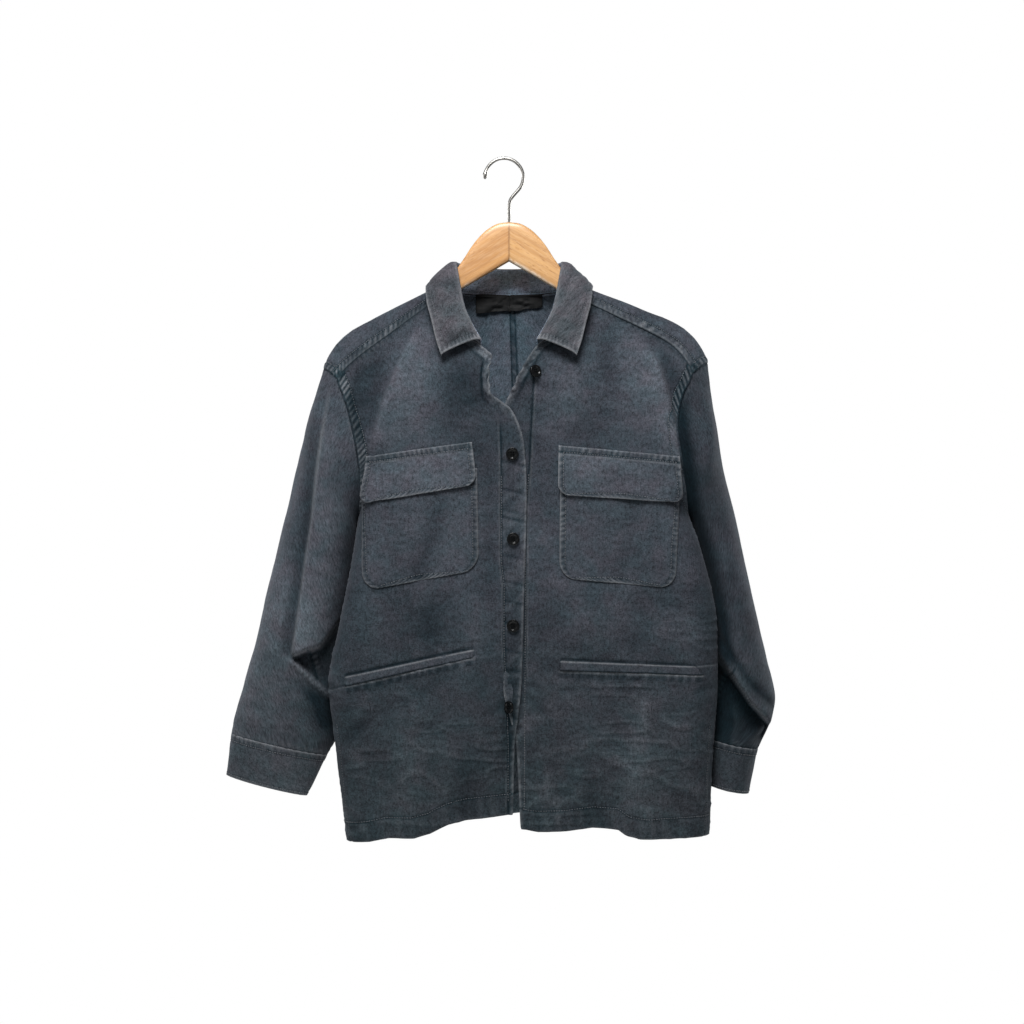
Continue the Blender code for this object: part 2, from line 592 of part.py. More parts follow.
def main():
    clear_scene()
    maker = Maker("jacket_on_hanger")
    cloth = make_material("charcoal_cord", CHARCOAL, 0.9)
    label_cloth = make_material("label_black", BLACK, 0.8)
    wood = make_material("beech", BEECH, 0.4)
    steel = make_material("chromed_wire", STEEL, 0.15, 1.0)
    button_black = make_material("button_black", BLACK, 0.2)

    front_rows = np.linspace(0, 1, 2 * len(FRONT) - 1)
    shoulder = BACK_NECK_ROW / (len(BACK) - 1)
    back_rows = np.concatenate([np.linspace(0, shoulder, 2 * BACK_NECK_ROW + 1),
                                np.linspace(shoulder, 1, len(BACK) - BACK_NECK_ROW)[1:]])
    back_rows = np.insert(back_rows, 2 * BACK_NECK_ROW + 1, shoulder + BACK_EXTRA_ROW / (len(BACK) - 1))
    for side in SIDES:
        front = lambda u, v, s=side: front_point(s, u, v)
        back = lambda u, v, s=side: back_point(s, u, v)
        maker.shell("front_" + side, panel_grid(front, *FRONT_COLUMNS, front_rows), CLOTH, cloth)
        maker.shell("back_" + side, panel_grid(back, *BACK_COLUMNS, back_rows), CLOTH, cloth)
        maker.shell("sleeve_" + side, sleeve_grid(side, *SLEEVE_GRID), CLOTH, cloth, closed=True)
        maker.shell("cuff_" + side, cuff_grid(side, *CUFF_GRID), CLOTH, cloth, closed=True)
        for grid in PATCH_GRIDS:
            points = patch_grid(front, PATCHES[grid.kind + side], *grid[1:], AHEAD)
            maker.shell(grid.kind + side, points, TRIM, cloth)
        make_hanger_half(maker, side, wood)
    maker.shell("collar_stand", stand_grid(*STAND_GRID), CLOTH, cloth)
    maker.shell("collar_leaf", leaf_grid(*LEAF_GRID), CLOTH, cloth)

    half = patch_grid(lambda u, v: back_point("left", u, v), LABEL, *LABEL_GRID, BEHIND, LABEL_START)
    mirrored = half[:, :0:-1] * np.array([-1, 1, 1])
    maker.shell("neck_label", np.concatenate([mirrored, half], axis=1), TRIM, label_cloth)

    for number, button in enumerate(BUTTONS, 1):
        make_button(maker, f"button_{number}", button, button_black)
    make_hook(maker, steel)


main()
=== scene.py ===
import math
from collections import namedtuple
from functools import partial

import bpy
import numpy as np
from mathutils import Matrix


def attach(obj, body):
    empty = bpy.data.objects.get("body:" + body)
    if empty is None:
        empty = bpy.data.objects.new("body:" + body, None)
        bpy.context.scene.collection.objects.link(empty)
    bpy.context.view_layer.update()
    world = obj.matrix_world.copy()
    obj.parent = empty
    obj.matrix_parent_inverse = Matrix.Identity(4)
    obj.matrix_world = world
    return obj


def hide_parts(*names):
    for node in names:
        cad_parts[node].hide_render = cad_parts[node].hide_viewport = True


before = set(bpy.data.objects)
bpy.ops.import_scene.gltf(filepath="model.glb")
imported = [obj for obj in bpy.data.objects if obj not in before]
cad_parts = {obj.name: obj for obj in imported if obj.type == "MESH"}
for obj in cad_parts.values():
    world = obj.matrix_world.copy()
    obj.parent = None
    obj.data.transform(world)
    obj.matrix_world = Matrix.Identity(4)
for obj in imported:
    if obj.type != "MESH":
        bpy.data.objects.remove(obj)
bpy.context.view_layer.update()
bpy.ops.object.select_all(action="DESELECT")

mm = 0.001
mergeReach = 1e-6  # points nearer than this are one
stemShift = np.array([6.0, 0.0, -4.0])  # the tables' zero in the frame, in millimetres
sides = {"right": -1, "left": 1}         # the wearer's sides
mirror = np.array([-1, 1, 1])            # swaps them

# Camera, light and floor
studio = {
    "cameraPlace": (0.0096, -2.42, -0.428),
    "lens": 70, "sensor": 36,
    "backdrop": (1.0, 1.0, 1.0, 1), "fillColour": (0.96, 0.98, 1.0, 1), "fillStrength": 0.18,
    "lamps": {  # place, aim, size and power
        "key": ((-0.16, -1.3, 1.15), (0.0, 0.0, -0.4), 1.0, 57),
        "side": ((-1.7, -1.1, 0.2), (-0.1, 0.0, -0.45), 1.2, 5),
        "rearLeft": ((1.75, 1.2, -0.1), (0.0, 0.0, -0.4), 1.3, 30),
        "rearRight": ((-1.75, 1.3, -0.1), (0.0, 0.0, -0.4), 1.3, 27),
    },
    "floorSize": (2.4, 1.7), "floorPlace": (0.0, -0.3, -1.25), "floorColour": (0.82, 0.82, 0.81, 1),
}


def aimAt(piece, target):
    way = np.array(target) - np.array(piece.location)
    piece.rotation_euler = (math.atan2(math.hypot(way[0], way[1]), -way[2]), 0,
                            math.atan2(-way[0], way[1]))


def makeStudio(s):
    scene = bpy.context.scene
    bpy.ops.object.camera_add(location=s["cameraPlace"], rotation=(math.pi / 2, 0, 0))
    camera = bpy.context.object
    camera.data.lens = s["lens"]
    camera.data.sensor_width = s["sensor"]
    scene.camera = camera
    scene.view_settings.view_transform = "Standard"
    world = bpy.data.worlds.new("studio")
    scene.world = world
    world.use_nodes = True
    nodes, links = world.node_tree.nodes, world.node_tree.links
    nodes.clear()
    seen = nodes.new("ShaderNodeBackground")
    seen.inputs["Color"].default_value = s["backdrop"]
    fill = nodes.new("ShaderNodeBackground")
    fill.inputs["Color"].default_value = s["fillColour"]
    fill.inputs["Strength"].default_value = s["fillStrength"]
    path = nodes.new("ShaderNodeLightPath")
    mix = nodes.new("ShaderNodeMixShader")
    output = nodes.new("ShaderNodeOutputWorld")
    links.new(path.outputs["Is Camera Ray"], mix.inputs[0])
    links.new(fill.outputs[0], mix.inputs[1])
    links.new(seen.outputs[0], mix.inputs[2])
    links.new(mix.outputs[0], output.inputs[0])
    for name, (place, aim, size, power) in s["lamps"].items():
        bpy.ops.object.light_add(type="AREA", location=place)
        lamp = bpy.context.object
        lamp.name = name + "Light"
        lamp.data.shape = "DISK"
        lamp.data.size = size
        lamp.data.energy = power
        aimAt(lamp, aim)


makeStudio(studio)
print("studio ready")


# Cloth kit: smooth rows, noise, creases
def unitOf(ways):  # the same ways, each one long
    return ways / np.maximum(np.linalg.norm(ways, axis=-1, keepdims=True), 1e-9)


def smoothRows(rows, place):  # smooth curve through evenly spaced rows, with no overshoot
    rows = np.asarray(rows, float)
    steps = np.diff(rows, axis=0)
    slopes = np.zeros_like(rows)
    before, after = steps[:-1], steps[1:]
    total = np.where(before * after > 0, before + after, 1.0)
    slopes[1:-1] = np.where(before * after > 0, 2 * before * after / total, 0.0)
    slopes[0], slopes[-1] = steps[0], steps[-1]
    place = np.clip(np.asarray(place, float), 0, 1) * (len(rows) - 1)
    low = np.minimum(place.astype(int), len(rows) - 2)
    t = (place - low).reshape(place.shape + (1,) * (rows.ndim - 1))
    return (rows[low] * (1 + 2 * t) * (1 - t) ** 2 + slopes[low] * t * (1 - t) ** 2
            + rows[low + 1] * t * t * (3 - 2 * t) + slopes[low + 1] * t * t * (t - 1))


def ease(t):
    t = np.clip(t, 0, 1)
    return t * t * (3 - 2 * t)


def bell(t):
    return np.exp(-np.square(t))


def waver(t, seed):  # smooth random line between -1 and 1
    count = 400
    knots = np.random.default_rng(seed).uniform(-1, 1, count)
    t = np.mod(np.asarray(t, float), count)
    low = t.astype(int) % count
    f = ease(t - np.floor(t))
    return knots[low] * (1 - f) + knots[(low + 1) % count] * f


def rumple(x, z, size, seed):  # smooth random hills between -1 and 1, about size across
    count = 90
    knots = np.random.default_rng(seed).uniform(-1, 1, (count, count))
    px, pz = np.mod(x / size, count), np.mod(z / size, count)
    i, j = px.astype(int) % count, pz.astype(int) % count
    f, g = ease(px - np.floor(px)), ease(pz - np.floor(pz))
    i2, j2 = (i + 1) % count, (j + 1) % count
    return ((knots[i, j] * (1 - f) + knots[i2, j] * f) * (1 - g)
            + (knots[i, j2] * (1 - f) + knots[i2, j2] * f) * g)


def wrinkles(x, z, size, seed):  # thin broken ridges that lie mostly across the cloth
    lie = rumple(x * 0.32 + z * 0.12, z, size, seed)
    return bell(lie / 0.2) * ease(rumple(x * 0.6, z, size * 4, seed + 1) * 1.6 + 0.35)


# A crease runs from its top to its foot, bowed to the viewer's right,
# and is soft to each side by so many millimetres
Crease = namedtuple("Crease", "topX topZ footX footZ bow softLeft softRight height")


def creaseHeight(crease, x, z):
    runX, runZ = crease.footX - crease.topX, crease.footZ - crease.topZ
    length = math.hypot(runX, runZ)
    runX, runZ = runX / length, runZ / length
    share = np.clip(((x - crease.topX) * runX + (z - crease.topZ) * runZ) / length, 0, 1)
    off = (crease.topX - x) * runZ + (z - crease.topZ) * runX - crease.bow * np.sin(math.pi * share)
    soft = np.where(off < 0, crease.softLeft, crease.softRight)
    return crease.height * bell(off / soft) * np.sin(math.pi * share) ** 0.6


def sumCreases(creases, x, z):
    return sum((creaseHeight(crease, x, z) for crease in creases), np.zeros_like(x))


def alongLine(x, z, start, end):  # how far along a straight line, how far off it, and 1 beside it
    runX, runZ = end[0] - start[0], end[1] - start[1]
    length = math.hypot(runX, runZ)
    along = ((x - start[0]) * runX + (z - start[1]) * runZ) / length
    off = ((x - start[0]) * runZ - (z - start[1]) * runX) / length
    return along, off, ease(along / 3 + 0.5) * ease((length - along) / 3 + 0.5)


def inBand(off, low, high):
    return ease((off - low + 1.2) / 2) * ease((high + 1.2 - off) / 2)


# Bars that pucker a seam's band, across it, from low to high off the seam
def puckerBars(along, off, low, high, pitch, seed, slant=0.25):
    inside = inBand(off, low, high)
    turn = along / pitch + 0.6 * waver(along / 26, seed) + slant * (off - low) / pitch
    bar = (0.5 + 0.5 * np.cos(2 * math.pi * turn)) ** 1.4
    return inside * bar * (0.62 + 0.38 * waver(along / 17, seed + 1))


def lengthAlong(line):  # how far along a line of points each point is
    return np.concatenate([[0], np.cumsum(np.linalg.norm(np.diff(line, axis=0), axis=1))])


def pointsAt(place, length, line):  # the points at set lengths along a line
    return np.stack([np.interp(place, length, line[:, k]) for k in range(3)], axis=-1)


def evenShares(line, count):  # shares of a line of points that part it evenly
    length = lengthAlong(line)
    return np.interp(np.linspace(0, length[-1], count + 1), length, np.linspace(0, 1, len(line)))


def crowdedShares(width, closeStart, closeEnd, fine, coarse):  # shares that lie closer by both ends
    middle = max(2, round((width - closeStart - closeEnd) / coarse))
    start = np.linspace(0, closeStart, max(2, round(closeStart / fine)) + 1)
    rest = np.linspace(closeStart, width - closeEnd, middle + 1)[1:]
    end = np.linspace(width - closeEnd, width, max(2, round(closeEnd / fine)) + 1)[1:]
    return np.concatenate([start, rest, end]) / width


# The way a panel faces, and distances from each edge, in millimetres
def measurePanel(points, sign=1, closed=False):
    if closed:
        wrapped = np.concatenate([points[:, -2:-1], points, points[:, 1:2]], axis=1)
        acrossWay = wrapped[:, 2:] - wrapped[:, :-2]
    else:
        acrossWay = np.gradient(points, axis=1)
    downWay = np.gradient(points, axis=0)
    normal = unitOf(np.cross(acrossWay, downWay))
    stepsX = np.linalg.norm(np.diff(points, axis=1), axis=-1)
    stepsZ = np.linalg.norm(np.diff(points, axis=0), axis=-1)
    fromEdge = np.concatenate([np.zeros((len(points), 1)), np.cumsum(stepsX, axis=1)], axis=1)
    fromTop = np.concatenate([np.zeros((1, points.shape[1])), np.cumsum(stepsZ, axis=0)], axis=0)
    return {"points": points, "outward": normal * sign, "x": points[..., 0], "z": points[..., 2],
            "fromEdge": fromEdge, "fromSide": fromEdge[:, -1:] - fromEdge,
            "fromTop": fromTop, "fromFoot": fromTop[-1:] - fromTop}


def edgesOf(panel):
    return [panel[key] for key in ("fromEdge", "fromSide", "fromTop", "fromFoot")]


def liftPanel(panel, height):  # moves a panel's points outwards, and keeps where they come to lie
    panel["placed"] = panel["points"] + panel["outward"] * height[..., None]
    return panel["placed"]


def makeGrid(name, points, marks):  # a mesh through a grid of points, with marks on them
    rows, columns = points.shape[0] - 1, points.shape[1] - 1
    bpy.ops.object.select_all(action="DESELECT")
    bpy.ops.mesh.primitive_grid_add(x_subdivisions=columns, y_subdivisions=rows, size=1)
    piece = bpy.context.object
    piece.name = piece.data.name = name
    mesh = piece.data
    place = np.empty(len(mesh.vertices) * 3)
    mesh.vertices.foreach_get("co", place)
    place = place.reshape(-1, 3)
    column = np.rint((place[:, 0] + 0.5) * columns).astype(int)
    row = np.rint((place[:, 1] + 0.5) * rows).astype(int)
    mesh.vertices.foreach_set("co", ((points[row, column] + stemShift) * mm).ravel())
    for mark, values in marks.items():
        layer = mesh.attributes.new(mark, "FLOAT", "POINT")
        layer.data.foreach_set("value", np.clip(values, 0, 1)[row, column])
    return piece, mesh, row, column


def makeSheet(name, points, spread, marks, faceCloth, insideCloth, thickness, closed=False):
    piece, mesh, row, column = makeGrid(name, points, marks)
    corner = np.empty(len(mesh.loops), np.int32)
    mesh.loops.foreach_get("vertex_index", corner)
    mesh.uv_layers.active.data.foreach_set("uv", (spread[row, column] * mm)[corner].ravel())
    mesh.materials.append(faceCloth)
    mesh.materials.append(insideCloth)
    mesh.update()
    if closed:
        bpy.ops.object.mode_set(mode="EDIT")
        bpy.ops.mesh.select_all(action="SELECT")
        bpy.ops.mesh.remove_doubles(threshold=mergeReach)
        bpy.ops.object.mode_set(mode="OBJECT")
    wall = piece.modifiers.new("wall", "SOLIDIFY")
    wall.thickness = thickness * mm
    wall.offset = 0
    wall.material_offset = 1
    bpy.ops.object.modifier_apply(modifier="wall")
    bpy.ops.object.shade_smooth()
    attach(piece, "root")
    return piece


# Materials
def addNode(tree, kind, values, **choices):
    node = tree.nodes.new("ShaderNode" + kind)
    for key, value in choices.items():
        setattr(node, key, value)
    for key, value in values.items():
        if isinstance(value, bpy.types.NodeSocket):
            tree.links.new(value, node.inputs[key])
        else:
            node.inputs[key].default_value = value
    return node


def sums(tree, operation, first, second):
    return addNode(tree, "Math", {0: first, 1: second}, operation=operation).outputs[0]


def scaled(tree, place, factors):
    return addNode(tree, "VectorMath", {0: place, 1: factors}, operation="MULTIPLY").outputs[0]


def noise(tree, place, scale, detail, roughness=0.55):
    values = {"Vector": place, "Scale": scale, "Detail": detail, "Roughness": roughness}
    return addNode(tree, "TexNoise", values).outputs["Fac"]


def spanned(tree, value, low, high, toLow, toHigh):
    values = {"Value": value, "From Min": low, "From Max": high, "To Min": toLow, "To Max": toHigh}
    return addNode(tree, "MapRange", values).outputs[0]


def blended(tree, factor, first, second, blend="MIX"):
    node = addNode(tree, "Mix", {0: factor, 6: first, 7: second}, data_type="RGBA", blend_type=blend)
    return node.outputs[2]


def tinted(tree, colour, factor):
    grey = addNode(tree, "CombineColor", {0: factor, 1: factor, 2: factor}).outputs[0]
    return blended(tree, 1.0, colour, grey, "MULTIPLY")


def weighed(tree, *parts):  # values times their weights, added up
    total = None
    for value, weight in parts:
        part = sums(tree, "MULTIPLY", value, weight)
        total = part if total is None else sums(tree, "ADD", total, part)
    return total


def waves(tree, place, scale, distortion, detail, direction, detailScale=1.0):
    values = {"Vector": place, "Scale": scale, "Distortion": distortion, "Detail": detail,
              "Detail Scale": detailScale}
    return addNode(tree, "TexWave", values, bands_direction=direction).outputs["Fac"]


def placeOf(tree, kind="Object"):
    return addNode(tree, "TexCoord", {}).outputs[kind]


def markOf(tree, name):  # a mark that the mesh's points carry
    return addNode(tree, "Attribute", {}, attribute_name=name).outputs["Fac"]


def newGroup(name, inputs, outputs):
    group = bpy.data.node_groups.new(name, "ShaderNodeTree")
    for socket, kind in inputs.items():
        group.interface.new_socket(socket, in_out="INPUT", socket_type="NodeSocket" + kind)
    for socket, kind in outputs.items():
        group.interface.new_socket(socket, in_out="OUTPUT", socket_type="NodeSocket" + kind)
    return group, group.nodes.new("NodeGroupInput").outputs, group.nodes.new("NodeGroupOutput").inputs


def useGroup(tree, group, values):
    node = tree.nodes.new("ShaderNodeGroup")
    node.node_tree = group
    for key, value in values.items():
        tree.links.new(value, node.inputs[key])
    return node.outputs


def newMaterial(name, constants):
    material = bpy.data.materials.new(name)
    material.use_nodes = True
    tree = material.node_tree
    shader = tree.nodes["Principled BSDF"]
    for socket, value in constants.items():
        shader.inputs[socket].default_value = value
    return material, tree, shader


def linkLooks(tree, shader, colour, roughness, height, strength, distance):
    bump = addNode(tree, "Bump", {"Height": height, "Strength": strength, "Distance": distance})
    tree.links.new(colour, shader.inputs["Base Color"])
    tree.links.new(roughness, shader.inputs["Roughness"])
    tree.links.new(bump.outputs[0], shader.inputs["Normal"])


clothLooks = {
    "face": (0.0405, 0.0433, 0.0553, 1), "collar": (0.045, 0.0434, 0.0515, 1),
    # stand: a lighter, bluer cord, painted light for the collar stand
    "inside": (0.08, 0.092, 0.118, 1), "stand": (0.13, 0.154, 0.212, 1),
    "cool": (0.82, 1.04, 1.02, 1), "worn": (0.25, 0.256, 0.272, 1), "bleached": (0.075, 0.08, 0.086, 1),
    # what full painted shade and full fading with painted light multiply by
    "sunk": (0.13, 0.23, 0.26, 1), "fadedAndLit": (2.1, 1.98, 1.9, 1),
    "lower": (0.99, 1.015, 0.955, 1), "lowerFrom": (-0.5, -0.75),  # painted light: a greener tint towards the hem
    "walePitch": 0.0016, "streakScale": 400, "streakReach": 0.6, "napScale": 620, "mottleScale": 190,
    "washScale": 13, "hueScale": 34,
    "sheen": 0.07, "sheenTint": (0.75, 0.82, 0.95, 1), "grainDepth": 0.0004,
    "outerWear": 0.85, "innerWear": 0.5, "thread": (0.084, 0.09, 0.103, 1),
}


def makeCordGrain(s):  # fine cord with warp streaks and a brushed nap, on a map in metres
    group, given, made = newGroup("cordGrain", {"Place": "Vector"}, {"Tone": "Float", "Height": "Float"})
    streak = noise(group, scaled(group, given["Place"], (1, s["streakReach"], 1)), s["streakScale"], 3, 0.7)
    nap = noise(group, given["Place"], s["napScale"], 2)
    mottle = noise(group, given["Place"], s["mottleScale"], 2)
    side = addNode(group, "SeparateXYZ", {0: given["Place"]}).outputs[0]
    turn = weighed(group, (side, 2 * math.pi / s["walePitch"]), (streak, 7.0))
    wale = spanned(group, sums(group, "SINE", turn, 0.0), -1, 1, 0, 1)
    tone = weighed(group, (streak, 0.34), (nap, 0.34), (wale, 0.08), (mottle, 0.24))
    group.links.new(tone, made["Tone"])
    group.links.new(weighed(group, (wale, 0.35), (streak, 0.55), (nap, 0.4)), made["Height"])
    return group


def makeWash(s):  # cloudy fading of washed cloth
    group, given, made = newGroup("washClouds", {"Place": "Vector"}, {"Fade": "Float", "Hue": "Float"})
    clouds = noise(group, given["Place"], s["washScale"], 4, 0.6)
    patches = noise(group, scaled(group, given["Place"], (0.7, 0.7, 1.3)), s["washScale"] * 4.5, 3)
    fade = weighed(group, (clouds, 0.55), (patches, 0.45))
    group.links.new(spanned(group, fade, 0.3, 0.7, 0, 1), made["Fade"])
    hue = noise(group, given["Place"], s["hueScale"], 3, 0.6)
    group.links.new(spanned(group, hue, 0.36, 0.64, 0, 1), made["Hue"])
    return group


def makeCord(name, base, wornShare, s, grain, wash):
    material, tree, shader = newMaterial(name, {
        "Sheen Weight": s["sheen"], "Sheen Roughness": 0.45, "Sheen Tint": s["sheenTint"],
        "Specular IOR Level": 0.07})
    place = addNode(tree, "TexCoord", {}).outputs
    cord = useGroup(tree, grain, {"Place": place["UV"]})
    clouds = useGroup(tree, wash, {"Place": place["Object"]})
    fade = clouds["Fade"]
    colour = tinted(tree, base, spanned(tree, cord["Tone"], 0.38, 0.62, 0.34, 1.66))
    colour = blended(tree, clouds["Hue"], colour, blended(tree, 1.0, colour, s["cool"], "MULTIPLY"))
    # painted light: the cloth turns greener towards the hem
    level = addNode(tree, "SeparateXYZ", {0: place["Object"]}).outputs[2]
    lower = spanned(tree, level, *s["lowerFrom"], 0, 1)
    colour = blended(tree, lower, colour, blended(tree, 1.0, colour, s["lower"], "MULTIPLY"))
    colour = tinted(tree, colour, spanned(tree, fade, 0, 1, 0.7, 1.3))
    colour = blended(tree, sums(tree, "MULTIPLY", fade, 0.12), colour, s["bleached"])
    # fading with painted light: lighter on ridges, crests and lit places
    colour = blended(tree, markOf(tree, "fadedAndLit"), colour, s["fadedAndLit"], "MULTIPLY")
    broken = spanned(tree, cord["Tone"], 0.3, 0.65, 0.35, 1.0)
    broken = sums(tree, "MULTIPLY", markOf(tree, "worn"), broken)
    colour = blended(tree, sums(tree, "MULTIPLY", broken, wornShare), colour, s["worn"])
    # painted shade: darker in grooves, troughs, gaps and shadowed places
    colour = blended(tree, markOf(tree, "sunk"), colour, s["sunk"], "MULTIPLY")
    rough = spanned(tree, cord["Tone"], 0, 1, 0.98, 0.86)
    linkLooks(tree, shader, colour, rough, cord["Height"], 0.55, s["grainDepth"])
    return material


woodLooks = {
    # the left half's colour is a little lighter: painted light, as the two halves face the light differently
    "colour": {"right": (0.62, 0.32, 0.115, 1), "left": (0.63, 0.35, 0.135, 1)},
    "grainLine": (0.36, 0.16, 0.055, 1), "pale": (0.78, 0.56, 0.34, 1),
    "bare": (0.95, 0.86, 0.72, 1), "jointLine": (0.16, 0.07, 0.025, 1),
    "flecks": {"right": 0.5, "left": 0.8},
    "slope": {"right": -31, "left": 31},  # the way each arm's grain falls, in degrees
    "growth": (7, 60, 95), "fibre": (70, 800, 1400), "fleck": (130, 500, 900), "bandScale": 34,
    "coat": {"Coat Weight": 0.35, "Coat Roughness": 0.22},
}


def makeWood(side, s):
    material, tree, shader = newMaterial("lacqueredBeech_" + side, s["coat"])
    lie = (0, math.radians(-s["slope"][side]), 0)
    turned = addNode(tree, "Mapping", {"Vector": placeOf(tree), "Rotation": lie}).outputs[0]
    growth = noise(tree, scaled(tree, turned, s["growth"]), 1.0, 4, 0.6)
    fibre = noise(tree, scaled(tree, turned, s["fibre"]), 1.0, 3, 0.6)
    flecks = noise(tree, scaled(tree, turned, s["fleck"]), 1.0, 1)
    colour = blended(tree, spanned(tree, growth, 0.35, 0.68, 0.0, 0.5), s["colour"][side], s["grainLine"])
    colour = blended(tree, spanned(tree, fibre, 0.42, 0.72, 0.0, 0.35), colour, s["pale"])
    bands = waves(tree, turned, s["bandScale"], 2.2, 2, "Z", 0.6)
    colour = blended(tree, spanned(tree, bands, 0.55, 1.0, 0.0, 0.28), colour, s["grainLine"])
    colour = blended(tree, spanned(tree, flecks, 0.6, 0.72, 0.0, s["flecks"][side]), colour, s["grainLine"])
    colour = blended(tree, sums(tree, "MULTIPLY", markOf(tree, "worn"), 0.85), colour, s["bare"])
    colour = blended(tree, sums(tree, "MULTIPLY", markOf(tree, "joint"), 0.6), colour, s["jointLine"])
    linkLooks(tree, shader, colour, spanned(tree, fibre, 0.2, 0.8, 0.3, 0.5), fibre, 0.25, 0.0002)
    return material


chromeLooks = {
    "clear": (0.5, 0.485, 0.455, 1), "hazy": (0.3, 0.29, 0.275, 1), "hazeScale": 260, "fineScale": 2400,
}


def makeChrome(s):
    material, tree, shader = newMaterial("brightChrome", {"Metallic": 1.0})
    place = placeOf(tree)
    haze = noise(tree, place, s["hazeScale"], 4)
    fine = noise(tree, scaled(tree, place, (1, 1, 0.2)), s["fineScale"], 2)
    colour = blended(tree, spanned(tree, haze, 0.35, 0.7, 0, 1), s["clear"], s["hazy"])
    linkLooks(tree, shader, colour, spanned(tree, haze, 0.3, 0.7, 0.26, 0.4), fine, 0.06, 0.0001)
    return material


resinLooks = {
    "deep": (0.002, 0.0022, 0.0024, 1), "cloudy": (0.006, 0.0066, 0.007, 1),
    "cloudScale": 420, "scuffScale": 1800,
    "coat": {"Coat Weight": 0.35, "Coat Roughness": 0.04, "Specular IOR Level": 0.1},
}


def makeButtonResin(s):
    material, tree, shader = newMaterial("blackResin", s["coat"])
    place = placeOf(tree)
    cloud = noise(tree, place, s["cloudScale"], 3)
    scuff = noise(tree, scaled(tree, place, (1, 1, 6)), s["scuffScale"], 2)
    colour = blended(tree, spanned(tree, cloud, 0.35, 0.7, 0, 1), s["deep"], s["cloudy"])
    linkLooks(tree, shader, colour, spanned(tree, scuff, 0.3, 0.75, 0.16, 0.34), scuff, 0.05, 0.0001)
    return material


tapeLooks = {
    "hollow": (0.004, 0.0045, 0.005, 1), "raised": (0.011, 0.0115, 0.0125, 1), "lint": (0.05, 0.05, 0.054, 1),
    "warpScale": 420, "weftScale": 300, "lintScale": 500,
    "sheen": {"Sheen Weight": 0.05, "Sheen Roughness": 0.4, "Specular IOR Level": 0.3},
}


def makeLabelWeave(s):
    material, tree, shader = newMaterial("blackTape", s["sheen"])
    place = placeOf(tree, "UV")
    warp = waves(tree, place, s["warpScale"], 0.6, 1, "X")
    weave = sums(tree, "MULTIPLY", warp, waves(tree, place, s["weftScale"], 0.6, 1, "Y"))
    lint = noise(tree, place, s["lintScale"], 4, 0.7)
    colour = blended(tree, weave, s["hollow"], s["raised"])
    colour = blended(tree, spanned(tree, lint, 0.6, 0.8, 0, 0.2), colour, s["lint"])
    linkLooks(tree, shader, colour, spanned(tree, lint, 0.2, 0.8, 0.62, 0.85), weave, 0.4, 0.0002)
    return material


def makeThread(name, colour):
    material, tree, shader = newMaterial(name, {"Sheen Weight": 0.2, "Sheen Roughness": 0.4})
    place = placeOf(tree)
    ply = waves(tree, place, 900, 2.0, 1, "DIAGONAL")
    fade = noise(tree, place, 120, 3)
    shade = tinted(tree, colour, spanned(tree, ply, 0, 1, 0.75, 1.2))
    shade = tinted(tree, shade, spanned(tree, fade, 0.3, 0.7, 0.75, 1.25))
    linkLooks(tree, shader, shade, spanned(tree, fade, 0, 1, 0.7, 0.95), ply, 0.3, 0.0001)
    return material


def makeFloorPaint(colour):
    material, tree, shader = newMaterial("paleFloor", {})
    cloud = noise(tree, placeOf(tree), 3, 4)
    paint = tinted(tree, colour, spanned(tree, cloud, 0, 1, 0.97, 1.03))
    tree.links.new(paint, shader.inputs["Base Color"])
    tree.links.new(spanned(tree, cloud, 0, 1, 0.8, 0.95), shader.inputs["Roughness"])
    return material


cordGrain = makeCordGrain(clothLooks)
washClouds = makeWash(clothLooks)
faceCord, collarCord, insideCord, litStandCord = (
    makeCord("charcoalCord" + ending, clothLooks[base], clothLooks[wear], clothLooks, cordGrain, washClouds)
    for ending, base, wear in (("", "face", "outerWear"), ("Collar", "collar", "outerWear"),
                               ("Inside", "inside", "innerWear"), ("Stand", "stand", "innerWear")))
beech = {side: makeWood(side, woodLooks) for side in sides}
brightChrome = makeChrome(chromeLooks)
blackResin = makeButtonResin(resinLooks)
blackTape = makeLabelWeave(tapeLooks)
charcoalThread = makeThread("charcoalThread", clothLooks["thread"])


def makeFloor(s):
    bpy.ops.object.select_all(action="DESELECT")
    bpy.ops.mesh.primitive_plane_add(size=1, location=s["floorPlace"])
    floor = bpy.context.object
    floor.name = "floor"
    floor.scale = (*s["floorSize"], 1)
    bpy.ops.object.transform_apply(location=True, rotation=True, scale=True)
    floor.data.materials.append(makeFloorPaint(s["floorColour"]))


makeFloor(studio)
print("materials ready")


# Garment forms, in millimetres from the hanger's stem
underarmZ = -430


# A line across a panel, bowed at the shoulder, and lower down flat and then turned back
def acrossPanel(edge, side, crown, turned, turn, u):
    gap = side - edge
    width = np.abs(gap[..., 0])
    arc = math.pi / 2 * np.sqrt((turn ** 2 + gap[..., 1] ** 2) / 2)
    flatShare = (width - turn) / (width - turn + arc)
    angle = np.clip((u - flatShare) / (1 - flatShare), 0, 1) * math.pi / 2
    reach = turn / width
    along = np.where(u < flatShare, u / flatShare * (1 - reach), 1 - reach + reach * np.sin(angle))
    depth = (1 - turned) * along ** 2 + turned * (1 - np.cos(angle))
    point = edge + gap * along[..., None]
    point[..., 1] = edge[..., 1] + gap[..., 1] * depth
    point[..., 2] += crown * along * (1 - along ** 8)
    return point


